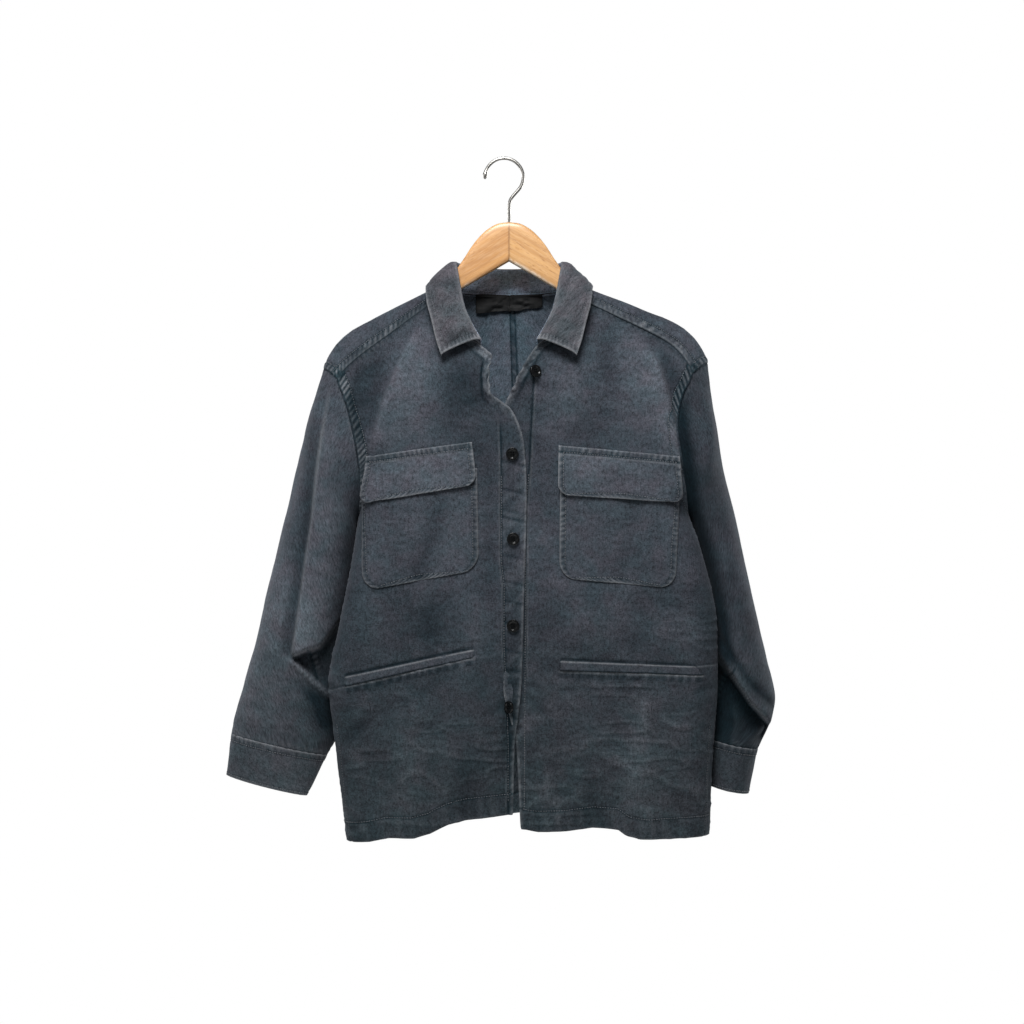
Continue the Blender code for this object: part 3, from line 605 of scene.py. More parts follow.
FrontRow = namedtuple("FrontRow", "rightEdge rightEdgeZ leftEdge leftEdgeZ edgeY rightSide rightSideZ "
                                  "leftSide leftSideZ sideY rightCrown leftCrown")
fronts = {
    "rows": (
        FrontRow(-88, -168, 88, -167, -18, -206, -264, 220, -258, -38, 8, 26),
        FrontRow(-67, -204, 67, -203, -34, -193, -297, 204, -294, -48, 3, 14),
        FrontRow(-34, -225, 34, -225, -46, -185, -329, 199, -324, -53, 0, 5),
        FrontRow(-24, -250, 18, -248, -52, -179, -365, 204, -358, -54, 0, 0),
        FrontRow(-22, -280, 4, -276, -55, -177, -397, 211, -395, -45, 0, 0),
        FrontRow(4, -304, -7, -302, -57, -179, -418, 214, -418, -29, 0, 0),
        FrontRow(18, -345, -11, -345, -58, -181, -430, 217, -430, -12, 0, 0),
        FrontRow(21, -405, -11, -405, -58, -186, -468, 230, -468, -15, 0, 0),
        FrontRow(18, -520, -11, -520, -56, -204, -558, 250, -560, -15, 0, 0),
        FrontRow(15, -625, -8, -625, -53, -217, -632, 251, -632, -15, 0, 0),
        FrontRow(7, -705, 9, -705, -49, -209, -705, 246, -705, -14, 0, 0),
        FrontRow(4, -788, 15, -803, -45, -195, -821, 241, -813, -12, 0, 0),
    ),
    "neckRow": 2, "underarmRow": 6, "lap": 2.4, "turn": 34.0,
    "lapelRoll": {"right": 5.0, "left": 2.5}, "edgeRoll": {"right": 6.0, "left": 0.0},
    "facingCorner": {"right": 7.5, "left": 0.0},
    # hem line as it hangs, x and z
    "hem": {
        "right": ((-192, -166, -143, -113, -94, -73, -50, 4),
                  (-819, -817, -812, -812, -807, -796, -791, -784)),
        "left": ((15, 35, 68, 100, 131, 142, 155, 191, 239),
                 (-802, -806, -805, -801, -803, -811, -814, -814, -812)),
    },
    "hemFade": 0.13,
    "creases": {
        "right": (
            Crease(-101, -190, -165, -356, -8, 3.2, 42, 9),     # broad ridge from the neck to the pocket
            Crease(-152, -214, -174, -345, -4, 15, 9, -4),
            Crease(-181, -232, -180, -310, 0, 8, 10, -6),       # trough beside the armhole
            Crease(-150, -232, -172, -330, -3, 9, 12, -3.5),
            Crease(-122, -640, -118, -840, 0, 28, 40, 5),       # drape above the hem
            Crease(-119, -640, -112, -690, 3, 5, 6, 3.2),       # pinch under the welt
            Crease(-82, -672, -72, -812, 3, 9, 12, 2.6),
            Crease(-64, -690, -58, -830, 2, 26, 22, -3.5),
            Crease(-161, -661, -92, -636, -3, 9, 9, -2.2),
            Crease(-198, -706, -158, -667, 3, 8, 12, -3.0),
            Crease(-34, -668, -2, -656, 0, 5, 6, -1.6),
            Crease(-30, -692, 2, -684, 1, 5, 5, -1.2),
            Crease(-150, -700, -135, -790, 0, 10, 14, -2.0),
            Crease(-95, -540, -88, -600, 2, 14, 16, -1.8),
            Crease(-52, -532, -40, -640, 3, 12, 14, 1.8),
            Crease(-24, -292, -96, -340, 3, 9, 11, -1.8),
            Crease(-20, -280, -60, -300, 1, 5, 6, -1.6),
            Crease(1, -610, 1, -740, 0, 9, 7, -6),              # dip by the lowest button
        ),
        "left": (
            Crease(152, -192, 206, -372, 7, 36, 3.2, 8),        # fold from shoulder to armhole
            Crease(190, -226, 210, -318, 2, 8, 9, -5),
            Crease(176, -222, 182, -262, 1, 6, 5, 3),           # dip at the fold's head
            Crease(118, -214, 132, -320, -4, 20, 22, -2.5),
            Crease(72, -244, 84, -330, -4, 24, 26, 3.0),
            Crease(168, -636, 143, -836, -6, 15, 42, 5),        # drape above the hem
            Crease(164, -640, 167, -692, -3, 5, 7, 3.2),        # pinch under the welt
            Crease(157, -690, 168, -808, 3, 8, 11, 2.4),
            Crease(104, -700, 104, -830, 3, 26, 26, -3.0),
            Crease(219, -640, 250, -634, 1, 4, 5, -2.2),
            Crease(193, -686, 244, -682, -1, 5, 5, -1.8),
            Crease(203, -722, 236, -741, 2, 5, 6, -2.2),
            Crease(196, -752, 234, -770, 1, 6, 5, -1.8),
            Crease(24, -656, 46, -668, 1, 5, 5, -1.6),
            Crease(40, -676, 28, -716, 2, 6, 7, -1.4),
            Crease(142, -770, 150, -806, 0, 5, 9, -3.0),
            Crease(84, -520, 92, -600, 2, 16, 14, 2.0),
            Crease(150, -530, 160, -604, -2, 14, 16, -2.0),
            Crease(14, -300, 52, -318, 2, 5, 7, -1.6),
            Crease(24, -268, 60, -292, 2, 5, 7, -1.8),
        ),
    },
}


def frontForm(side, u, v):  # u from the button edge to the side, v from the shoulder seam to the hem
    u, v = np.broadcast_arrays(np.asarray(u, float), np.asarray(v, float))
    lap = fronts["lap"] if side == "left" else 0.0
    rows = [(getattr(r, side + "Edge"), r.edgeY + lap, getattr(r, side + "EdgeZ"), getattr(r, side + "Side"),
             r.sideY, getattr(r, side + "SideZ"), getattr(r, side + "Crown")) for r in fronts["rows"]]
    row = smoothRows(rows, v)
    edge, sideSeam = row[..., 0:3], row[..., 3:6]
    down = v * (len(rows) - 1)
    turned = np.clip(down / fronts["neckRow"], 0, 1)
    point = acrossPanel(edge, sideSeam, row[..., 6], turned, fronts["turn"], u)
    corner = fronts["facingCorner"][side]
    point[..., 0] += corner * bell((point[..., 2] + 238) / 8) * np.exp(-10 * u)
    creased = sumCreases(fronts["creases"][side], point[..., 0], point[..., 2])
    inFront = ease((-14 - point[..., 1]) / 22)
    off = point[..., 0] - edge[..., 0]
    roll = (fronts["lapelRoll"][side] * bell((down - 3.6) / 1.4) * np.exp(-np.abs(off) / 12)
            + fronts["edgeRoll"][side] * bell((point[..., 2] + 665) / 45) * np.exp(-np.abs(off) / 8))
    point[..., 1] -= creased * inFront * ease(down * 1.6) + roll
    fall, width = sideSeam[..., 2] - edge[..., 2], sideSeam[..., 0] - edge[..., 0]
    hung = np.interp(point[..., 0], *fronts["hem"][side]) - (edge[..., 2] + fall * off / width)
    point[..., 2] += np.where(v > 1 - fronts["hemFade"], hung, 0) * ease((v - 1) / fronts["hemFade"] + 1) ** 3
    return point


BackRow = namedtuple("BackRow", "centre neck edgeY edgeZ rightSide rightSideZ leftSide leftSideZ sideY "
                                "rightCrown leftCrown")
backs = {
    "rows": (
        BackRow(0, 88, -18, -168, -206, -264, 220, -258, -38, 8, 26),
        BackRow(0, 86.5, -10, -154, -216, -255, 232, -248, -28, 20, 33),
        BackRow(0, 84.5, 0, -149.5, -224, -251, 240, -244, -15, 31, 36),
        BackRow(0, 80, 11, -151, -220, -257, 234, -251, 0, 25, 31),
        BackRow(0, 66, 22, -156, -208, -272, 221, -268, 16, 15, 18),
        BackRow(0, 40, 31, -159, -199, -294, 210, -291, 29, 7, 8),
        BackRow(0, 0, 36, -160, -191, -320, 203, -318, 38, 0, 0),
        BackRow(2, 0, 43, -215, -185, -350, 203, -348, 42, 0, 0),
        BackRow(4, 0, 47, -275, -181, -380, 207, -378, 40, 0, 0),
        BackRow(6, 0, 49, -325, -179, -404, 211, -404, 28, 0, 0),
        BackRow(7, 0, 50, -370, -179.5, -421, 214, -421, 8, 0, 0),
        BackRow(8, 0, 50, -400, -181, -430, 217, -430, -12, 0, 0),
        BackRow(9, 0, 49, -450, -186, -468, 230, -468, -15, 0, 0),
        BackRow(13, 0, 47, -545, -204, -558, 250, -560, -15, 0, 0),
        BackRow(15, 0, 44, -624, -217, -632, 251, -632, -15, 0, 0),
        BackRow(17, 0, 41, -704, -209, -705, 246, -705, -14, 0, 0),
        BackRow(19, 0, 37, -794, -195, -821, 241, -813, -12, 0, 0),
    ),
    "neckRow": 6, "ridgeRow": 2, "underarmRow": 11, "turn": 70.0,
    "creases": {
        "right": (
            Crease(-46, -250, -60, -470, 5, 26, 20, 2.6), Crease(-120, -300, -84, -500, -6, 18, 26, -3.0),
            Crease(-60, -560, -66, -830, 4, 30, 26, 6), Crease(-112, -600, -126, -830, 4, 24, 22, -4),
            Crease(-150, -430, -96, -470, 4, 10, 12, -2.5), Crease(-168, -480, -110, -540, 5, 9, 12, -2.2),
        ),
        "left": (
            Crease(58, -240, 70, -480, -5, 22, 28, 2.8), Crease(136, -300, 100, -520, 6, 24, 18, -3.0),
            Crease(88, -570, 96, -830, -3, 28, 30, 6), Crease(150, -590, 156, -830, 2, 22, 24, -4),
            Crease(184, -430, 124, -476, -4, 12, 10, -2.5), Crease(200, -500, 140, -560, -4, 9, 11, -2.2),
        ),
    },
}


def atBack(y):  # 1 where the cloth lies well behind, 0 towards the front
    return ease((y - 14) / 20)


def backForm(side, u, v):  # u from the centre back to the side, v from the shoulder seam to the hem
    u, v = np.broadcast_arrays(np.asarray(u, float), np.asarray(v, float))
    rows = [(r.centre + sides[side] * r.neck, r.edgeY, r.edgeZ, getattr(r, side + "Side"), r.sideY,
             getattr(r, side + "SideZ"), getattr(r, side + "Crown")) for r in backs["rows"]]
    row = smoothRows(rows, v)
    turned = np.clip(v * (len(rows) - 1) / backs["neckRow"], 0, 1)
    point = acrossPanel(row[..., 0:3], row[..., 3:6], row[..., 6], turned, backs["turn"], u)
    creased = sumCreases(backs["creases"][side], point[..., 0], point[..., 2])
    point[..., 1] += creased * atBack(point[..., 1])
    return point


def alongRoute(route, share):
    length = lengthAlong(route)
    return pointsAt(np.asarray(share, float) * length[-1], length, route)


def armholePoint(side, share):  # 0 at the top of the shoulder, 1 and -1 at the underarm by the front and back
    backRows, frontRows = len(backs["rows"]) - 1, len(fronts["rows"]) - 1
    top = backs["ridgeRow"] / backRows
    over = backForm(side, 1.0, np.linspace(top, 0, 40))
    down = frontForm(side, 1.0, np.linspace(0, fronts["underarmRow"] / frontRows, 200))
    behind = backForm(side, 1.0, np.linspace(top, backs["underarmRow"] / backRows, 200))
    ahead = alongRoute(np.concatenate([over, down[1:]]), np.abs(share))
    return np.where((share >= 0)[..., None], ahead, alongRoute(behind, np.abs(share)))


def neckPoint(side, share):  # 0 at the centre back, 1 at the collar's front end
    behind = backForm(side, 0.0, np.linspace(backs["neckRow"] / (len(backs["rows"]) - 1), 0, 120))
    ahead = frontForm(side, 0.0, np.linspace(0, fronts["neckRow"] / (len(fronts["rows"]) - 1), 80))
    return alongRoute(np.concatenate([behind, ahead[1:]]), share)


def panelGrid(form, columns, rows):  # columns as shares of the width, rows as shares of the length
    guide, steps = 0.4, np.linspace(0, 1, 600)  # lengths are measured down a line near the middle
    length = lengthAlong(form(np.full(len(steps), guide), steps))
    v = np.interp(rows * length[-1], length, steps)
    return form(columns[None, :], v[:, None])


def wrinkledAt(z):  # the lower cloth is more wrinkled
    return 0.3 + 0.7 * ease((-z - 520) / 120)


def oriented(grid, sign):  # its columns turned round where its face would point inwards
    return grid if sign > 0 else grid[:, ::-1]


clothThickness = 1.5
stitchDepth, seamDepth = 0.7, 0.8  # how far stitches and seams sink into fronts and backs


# A piece of cord through a panel's points, with its marks of wear, painted shade, and fading with painted
# light
def makeCloth(name, node, panel, spread, marks, sign=1, cloths=(faceCord, insideCord),
              thickness=clothThickness, closed=False):
    marks = {key: oriented(grid, sign) for key, grid in zip(("worn", "sunk", "fadedAndLit"), marks)}
    placed, spread = oriented(panel["placed"], sign), oriented(spread, sign)
    piece = makeSheet(name, placed, spread, marks, *cloths, thickness, closed)
    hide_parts(node)
    return piece


stitchLines = {"body": [], "sleeves": [], "collar": [], "pockets": []}


def stitchAt(group, panel, key, distance, start=0.0, end=1.0, lift=0.9):
    # a line of stitches at a set distance from one edge of a panel
    points, normal, off = panel["placed"], panel["outward"], panel[key]
    if key in ("fromTop", "fromFoot"):
        points, normal, off = points.swapaxes(0, 1), normal.swapaxes(0, 1), off.T
    first, last = round(start * (len(points) - 1)), round(end * (len(points) - 1))
    line = []
    for k in range(first, last + 1):
        order = np.argsort(off[k])
        if off[k].max() < distance:
            continue
        at = [np.interp(distance, off[k][order], points[k][order, c]) for c in range(3)]
        up = [np.interp(distance, off[k][order], normal[k][order, c]) for c in range(3)]
        line.append(np.array(at + up))
    line = np.array(line)
    if len(line) > 3:
        stitchLines[group].append((line[:, :3] + line[:, 3:] * lift, line[:, 3:]))


frontLooks = {
    "columns": crowdedShares(265, 40, 36, 1.7, 2.5), "rows": np.linspace(0, 1, 321),
    "seed": {"right": 11, "left": 41}, "hem": 25.0, "armBand": 13.0, "sideBand": 6.0,
    # how far down, and where across, each placket's stitching runs
    "placketLine": {"right": ((290, 362, 482, 512, 578, 650, 700), (-11, -9, -9, -5.5, -6, -2.5, -1)),
                    "left": ((262, 313, 374, 420, 820), (30, 27, 24, 20, 18))},
    # where folds cross the placket that laps over, and how deep each is
    "placketFolds": ((-366, 0.9), (-399, 0.8), (-424, 0.6), (-432, 0.9), (-477, 0.7), (-508, 0.9),
                     (-531, 0.6), (-557, 0.8), (-589, 0.7), (-612, 0.9), (-641, 0.6), (-668, 0.8)),
    # darker places: x, z, half width, half height, how dark
    "shadeZones": {"right": ((-52, -268, 34, 34, 0.55), (-23, -462, 10, 80, 0.3), (-30, -330, 20, 40, 0.2),
                             (-186, -560, 20, 70, 0.2), (-95, -555, 55, 40, 0.22), (4, -480, 14, 120, 0.14)),
                   "left": ((30, -330, 9, 36, 0.2), (236, -520, 16, 90, 0.25))},
    "lowShade": {"right": 0.3, "left": 0.18}, "sideLine": 22.0,
    # shade, fade and gaps: how strong the painted shade in crease troughs, the painted light on crease ridges
    # and the painted shade between pucker bars are
    "barPitch": 7.0, "barHeight": 0.95, "unevenness": 0.6, "shade": 0.5, "fade": 0.53, "gaps": 0.75,
    "facingFade": {"right": 1.2, "left": 0.6}, "facingWidth": {"right": 9.0, "left": 7.0},
    "weltSeam": {"right": ((-216, -638), (-195, -631)), "left": ((224, -607), (250, -606))},
    "weltTop": {"right": ((-195, -619), (-41, -586)), "left": ((61, -600), (222, -607))},
    "weltFoot": {"right": ((-195, -631), (-41, -596)), "left": ((60, -612), (232, -618))},
    "folds": {  # short drag lines, finer than the creases of the form
        "right": (
            Crease(-128, -262, -150, -330, 3, 7, 10, -1.6), Crease(-60, -520, -120, -548, 4, 6, 9, -1.8),
        ),
        "left": (
            Crease(107, -200, 124, -276, 3, 9, 12, -2.2), Crease(172, -228, 191, -322, 3, 6, 9, 2.6),
            Crease(182, -232, 198, -310, 3, 7, 7, -2.6), Crease(150, -520, 224, -540, -4, 8, 6, -1.8),
        ),
    },
    "flat": (0.285, 0.65), "area": 0.146,
}


def makeFront(side, s):
    sign = -sides[side]
    panel = measurePanel(panelGrid(partial(frontForm, side), s["columns"], s["rows"]), sign)
    x, z = panel["x"], panel["z"]
    fromEdge, fromSide, fromTop, fromFoot = edgesOf(panel)
    fromLine = (np.interp(-z, *s["placketLine"][side]) - x) * sides[side]
    panel["fromLine"] = fromLine
    inPlacket = ease(fromLine / 2 + 0.5)
    lapsOver = side == "right"
    shown = ease((-z - 300) / 40) if lapsOver else ease((-z - 256) / 14) * ease((z + 640) / 30)
    seed = s["seed"][side]
    lastArm = np.argmin(np.abs(z[:, -1] - underarmZ))
    byArm = 1 - ease((np.arange(len(x)) - lastArm + 6) / 8)[:, None]
    bySide = 1 - byArm
    sewnSide = bySide * ease((-z - 670) / 30)  # a line of stitches runs beside the side seam's foot
    arm = puckerBars(fromTop, fromSide, 1.5, s["armBand"], s["barPitch"], seed) * byArm
    armShown = 1 if lapsOver else 0.15 + 0.85 * ease((z + 335) / 28)
    seamSide = puckerBars(fromTop, fromSide, 0.5, s["sideBand"], 8.5, seed + 2) * bySide * 0.6
    edge = puckerBars(fromTop, fromEdge, 0.0, 5.5, 9.0, seed + 4) * 0.55
    placket = puckerBars(fromTop, fromLine, 0.5, 40.0, 27.0, seed + 6, 0.15)
    placket = placket * ease((-z - 330) / 60) * shown * 0.8 * ease(fromEdge / 5)
    folds, foldLight = np.zeros_like(x), np.zeros_like(x)
    for level, deep in s["placketFolds"]:
        off = z - level + 0.22 * (x - 4)  # the folds slope a little
        folds += deep * bell(off / 2.1) * (0.6 + 0.4 * waver(x / 9 - level, seed + 35))
        foldLight += 0.4 * deep * bell((off + 4.5) / 3)
    folds, foldLight = folds * inPlacket * lapsOver, foldLight * inPlacket * lapsOver
    hem = puckerBars(x, fromFoot, 1.0, s["hem"], 15.0, seed + 8, 0.15) * 0.8
    top = puckerBars(fromEdge, fromTop, 0.5, 5.0, 8.0, seed + 10) * 0.5
    height = s["barHeight"] * (arm * armShown + seamSide + edge + placket + hem + top) - 0.9 * folds
    stitched = (bell((fromSide - s["armBand"]) / 1.3) * byArm + bell((fromFoot - s["hem"]) / 1.5) * 0.9
                + bell(fromLine / 1.6) * shown + bell((fromSide - s["sideLine"]) / 1.2) * sewnSide * 0.9)
    seam = bell(fromSide / 1.6) + bell(fromTop / 1.5)
    _, off, beside = alongLine(x, z, *s["weltSeam"][side])
    seam = seam + 0.6 * bell((off + 0.9) / 1.0) * beside
    weltWear = 0.5 * bell((off - 0.9) / 1.0) * beside
    along, off, beside = alongLine(x, z, *s["weltTop"][side])
    slit = bell((off + 1.4) / 1.7) * beside * (0.75 + 0.25 * waver(along / 22, seed + 13))
    along, off, beside = alongLine(x, z, *s["weltFoot"][side])
    below = puckerBars(along, off, 0.5, 9.0, 11.0, seed + 12, 0.1) * beside
    weltWear = weltWear + 1.1 * bell((off - 1.8) / 1.1) * beside
    belowGaps = (inBand(off, 2.5, 9.0) * beside - below).clip(0)
    height += 0.8 * below - 0.8 * slit - stitchDepth * stitched
    height += 0.5 * bell((fromFoot - 1.0) / 1.6) + 0.5 * bell((fromEdge - 1.2) / 1.8)
    soft = rumple(x, z * 0.6, 34, seed + 20) * 1.2 + rumple(x * 0.7, z, 17, seed + 21) * 0.45
    drags = sumCreases(s["folds"][side], x, z)
    height += (s["unevenness"] * soft + drags) * ease(fromEdge / 30)
    crumple = wrinkles(x + 600, z + 900, 11, seed + 40) + 0.6 * wrinkles(x + 200, z + 500, 6.5, seed + 42)
    shadow = wrinkles(x + 600, z + 903, 11, seed + 40)  # the same wrinkles 3 mm lower
    shadow, crumple = wrinkledAt(z) * (shadow - crumple).clip(0), crumple * wrinkledAt(z)
    height += 1.1 * crumple
    height = height * ease(fromSide / 6) * ease(fromTop / 2) - seamDepth * seam
    placed = liftPanel(panel, height)
    hang = backForm(side, 1.0, np.linspace(0.7, 1, 300))
    sideZ = -panel["points"][:, -1, 2]
    pull = (np.interp(sideZ, -hang[:, 2], hang[:, 0]) - panel["points"][:, -1, 0]) * ease((sideZ - 650) / 40)
    placed[..., 0] += pull[:, None] * (1 - ease(fromSide / 30))  # closes the side seam above the hem
    vee = bell((z + 262) / 34) * np.exp(-fromEdge / 9)  # the neck's open edge is rough
    crush = rumple(fromEdge * 1.3 + 50, fromTop + 0.8 * fromEdge, 4.5, seed + 31)
    placed[..., 0] += 1.5 * vee * waver(fromTop / 4.5, seed + 33)
    placed[..., 1] -= vee * (2.0 * rumple(fromEdge * 1.2, fromTop, 7, seed + 34) + 1.2 * crush)
    worn = (1.25 * arm * armShown + 0.5 * seamSide + 0.4 * edge + 0.12 * placket + 0.1 * hem + 0.5 * top
            + weltWear + 0.4 * bell((fromLine + 2.2) / 0.9) * shown
            + 0.95 * bell((fromEdge - 0.6) / 1.3) * (0.7 + 0.4 * waver(fromTop / 5, seed + 36))
            + 0.5 * bell((fromFoot - 0.5) / 1.2) + 0.4 * bell((fromSide - 2.2) / 0.9) * byArm * armShown
            + 0.4 * bell((fromSide - s["sideLine"] + 1.8) / 0.9) * sewnSide)
    byVee, offFacing = bell((z + 258) / 36), fromEdge - s["facingWidth"][side]
    facing = byVee * (1 - ease(offFacing / 2))
    crushed = np.clip(0.45 + crush, 0, 1)
    worn += 0.5 * facing * crushed
    worn = worn * (0.75 + 0.25 * waver(fromTop / 14, seed + 30))
    low = ease((-z - 600) / 60)
    creased = (sumCreases(fronts["creases"][side], x, z) * ease(fromTop / 30)
               + 1.4 * soft * (1 - 0.5 * low) + drags)
    # painted shade: darker in the stitch grooves, seams, crease troughs, placket folds and the welt's slit
    sunk = 0.75 * stitched + 0.7 * seam + s["shade"] * np.clip(-creased / 5, 0, 1) + 0.85 * folds + 0.9 * slit
    # painted shade between the pucker bars of the armhole, shoulder, placket, hem and under the welt
    sunk += s["gaps"] * (inBand(fromSide, 1.5, s["armBand"]) * byArm * armShown * (1 - arm)
                         + 0.5 * inBand(fromTop, 0.5, 5.0) * (1 - top)
                         + 0.3 * inPlacket * shown * ease(fromEdge / 6) * (0.8 - placket).clip(0)
                         + 0.35 * inBand(fromFoot, 1.0, s["hem"]) * (0.6 - hem).clip(0) + 0.6 * belowGaps)
    # painted shade, darker lower down
    sunk += s["lowShade"][side] * ease((-z - 500) / 130)
    # random darker blotches, and painted shadow under each wrinkle
    sunk += 0.12 * np.clip(rumple(x + 300, z + 80, 26, seed + 45), 0, 1) + 0.25 * shadow
    for zoneX, zoneZ, halfWidth, halfHeight, paintedShade in s["shadeZones"][side]:
        sunk += paintedShade * bell((x - zoneX) / halfWidth) * bell((z - zoneZ) / halfHeight)
    # a painted shadow line beside the facing's edge, and darker patches in the facing
    sunk += 0.7 * byVee * bell((offFacing - 3) / 2) + 0.25 * facing * (1 - crushed)
    # painted light on crease ridges, less so lower down
    fadedAndLit = s["fade"] * np.clip(creased / (8 - 3 * low), 0, 1) * (1 - 0.4 * low)
    # painted light on raised bars and wrinkle crests; foldLight is painted light beside each placket fold
    fadedAndLit += 0.25 * below + 0.2 * placket + 0.45 * crumple + foldLight
    fadedAndLit += s["facingFade"][side] * facing * crushed
    spread = np.stack([x[:, :1] * sides[side] + fromEdge, z], axis=-1)
    piece = makeCloth("frontPanel_" + side, "front_" + side, panel, spread, (worn, sunk, fadedAndLit), sign)
    stitchAt("body", panel, "fromLine", 0.0, 0.36, 0.965)
    stitchAt("body", panel, "fromFoot", s["hem"], 0.02, 0.985)
    stitchAt("body", panel, "fromSide", s["armBand"], 0.01, lastArm / len(x))
    stitchAt("body", panel, "fromSide", s["sideLine"], 0.8, 0.99)
    return piece


frontPieces = {side: makeFront(side, frontLooks) for side in sides}
print("fronts ready")

backLooks = {
    "columns": crowdedShares(300, 14, 22, 2.0, 5.4), "rows": crowdedShares(760, 56, 34, 1.9, 4.2),
    "shoulderBand": 11.0, "seamBand": 9.0, "armBand": 9.0, "hem": 25.0, "barPitch": 7.0, "barHeight": 0.8,
    # gaps and shoulderGaps: how dark the painted shade between the pucker bars is
    "seed": {"right": 71, "left": 91}, "unevenness": 0.6, "gaps": 0.75,
    "shoulderGaps": {"right": 0.9, "left": 0.45}, "flat": (0.285, 0.765), "area": 0.162,
    "folds": {  # short drag lines, finer than the creases of the form
        "right": (
            Crease(-172, -455, -60, -520, 6, 7, 10, -3.0), Crease(-188, -560, -90, -590, 5, 6, 9, -2.6),
            Crease(-40, -640, -120, -668, -4, 6, 8, -2.2), Crease(-150, -330, -70, -400, 5, 8, 11, -2.4),
            Crease(-196, -680, -120, -700, 4, 5, 8, -2.0),
        ),
        "left": (
            Crease(212, -470, 104, -530, -6, 10, 7, -3.0), Crease(236, -575, 140, -602, -5, 9, 6, -2.6),
            Crease(60, -655, 140, -690, 4, 8, 6, -2.2), Crease(176, -340, 96, -405, -5, 11, 8, -2.4),
            Crease(238, -690, 160, -716, -4, 8, 5, -2.0),
        ),
    },
}


def makeBack(side, s):
    sign = sides[side]
    panel = measurePanel(panelGrid(partial(backForm, side), s["columns"], s["rows"]), sign)
    x, z = panel["x"], panel["z"]
    fromEdge, fromSide, fromTop, fromFoot = edgesOf(panel)
    felled = side == "left"  # the centre seam is stitched down on this side
    seed = s["seed"][side]
    behind = atBack(panel["points"][..., 1])
    lastArm = len(x) - 1 - np.argmin(np.abs(z[::-1, -1] - underarmZ))
    byArm = 1 - ease((np.arange(len(x)) - lastArm + 4) / 6)[:, None]
    centre = ease((panel["points"][:, :1, 1] - 34) / 3)
    shoulder = puckerBars(fromEdge, fromTop, 1.5, s["shoulderBand"], s["barPitch"], seed)
    arm = puckerBars(fromTop, fromSide, 1.5, s["armBand"], s["barPitch"], seed + 2) * byArm
    middle = puckerBars(fromTop, fromEdge, 0.5, s["seamBand"], s["barPitch"], seed + 4) * centre
    middle = middle * (1.0 if felled else 0.3)
    hem = puckerBars(x, fromFoot, 1.0, s["hem"], 12.0, seed + 6, 0.5) * 0.55
    height = s["barHeight"] * (shoulder + arm + middle + hem)
    stitched = (bell((fromTop - s["shoulderBand"]) / 1.4) + bell((fromSide - s["armBand"]) / 1.4) * byArm
                + bell((fromEdge - s["seamBand"]) / 1.3) * centre * felled
                + bell((fromFoot - s["hem"]) / 1.6))
    seam = bell(fromSide / 1.6) + bell(fromTop / 1.6) + bell(fromEdge / 1.2) * centre
    soft = rumple(x, z * 0.6, 34, seed + 20) * 1.2 + rumple(x * 0.7, z, 17, seed + 21) * 0.4
    crumple = wrinkles(x + 600, z + 900, 11, seed + 40) * wrinkledAt(z)
    folds = sumCreases(s["folds"][side], x, z) * behind
    height += (s["unevenness"] * soft + crumple + folds) * ease(fromTop / 20) * ease(fromEdge / 16)
    height -= stitchDepth * stitched
    liftPanel(panel, height * ease(fromSide / 6) * ease(fromTop / 2) - seamDepth * seam)
    worn = 0.9 * shoulder + 0.8 * arm + 0.7 * middle + 0.25 * hem + 0.6 * bell((fromFoot - 0.5) / 1.4)
    worn += 0.5 * bell((fromTop - 2.0) / 0.9) + 0.4 * bell((fromSide - 2.2) / 0.9) * byArm
    creased = sumCreases(backs["creases"][side], x, z) * behind + 1.4 * soft + folds
    # painted light on crease ridges and wrinkle crests
    fadedAndLit = 0.45 * np.clip(creased / 7, 0, 1) + 0.3 * crumple
    # painted shade in the stitch grooves, seams, crease troughs and between the pucker bars
    sunk = 0.75 * stitched + 0.75 * seam + 0.5 * np.clip(-creased / 5, 0, 1)
    sunk += s["gaps"] * (s["shoulderGaps"][side] * inBand(fromTop, 1.5, s["shoulderBand"]) * (1 - shoulder)
                         + inBand(fromSide, 1.5, s["armBand"]) * byArm * (1 - arm)
                         + felled * inBand(fromEdge, 0.5, s["seamBand"]) * centre * (1 - middle))
    spread = np.stack([np.abs(x[:, :1]) + fromEdge, -fromTop], axis=-1)
    piece = makeCloth("backPanel_" + side, "back_" + side, panel, spread, (worn, sunk, fadedAndLit), sign)
    stitchAt("body", panel, "fromTop", s["shoulderBand"], 0.02, 0.97)
    stitchAt("body", panel, "fromSide", s["armBand"], 0.02, lastArm / len(x))
    stitchAt("body", panel, "fromFoot", s["hem"], 0.01, 0.98)
    if felled:
        stitchAt("body", panel, "fromEdge", s["seamBand"], 0.2, 0.98)
    return piece


backPieces = {side: makeBack(side, backLooks) for side in sides}
print("backs ready")


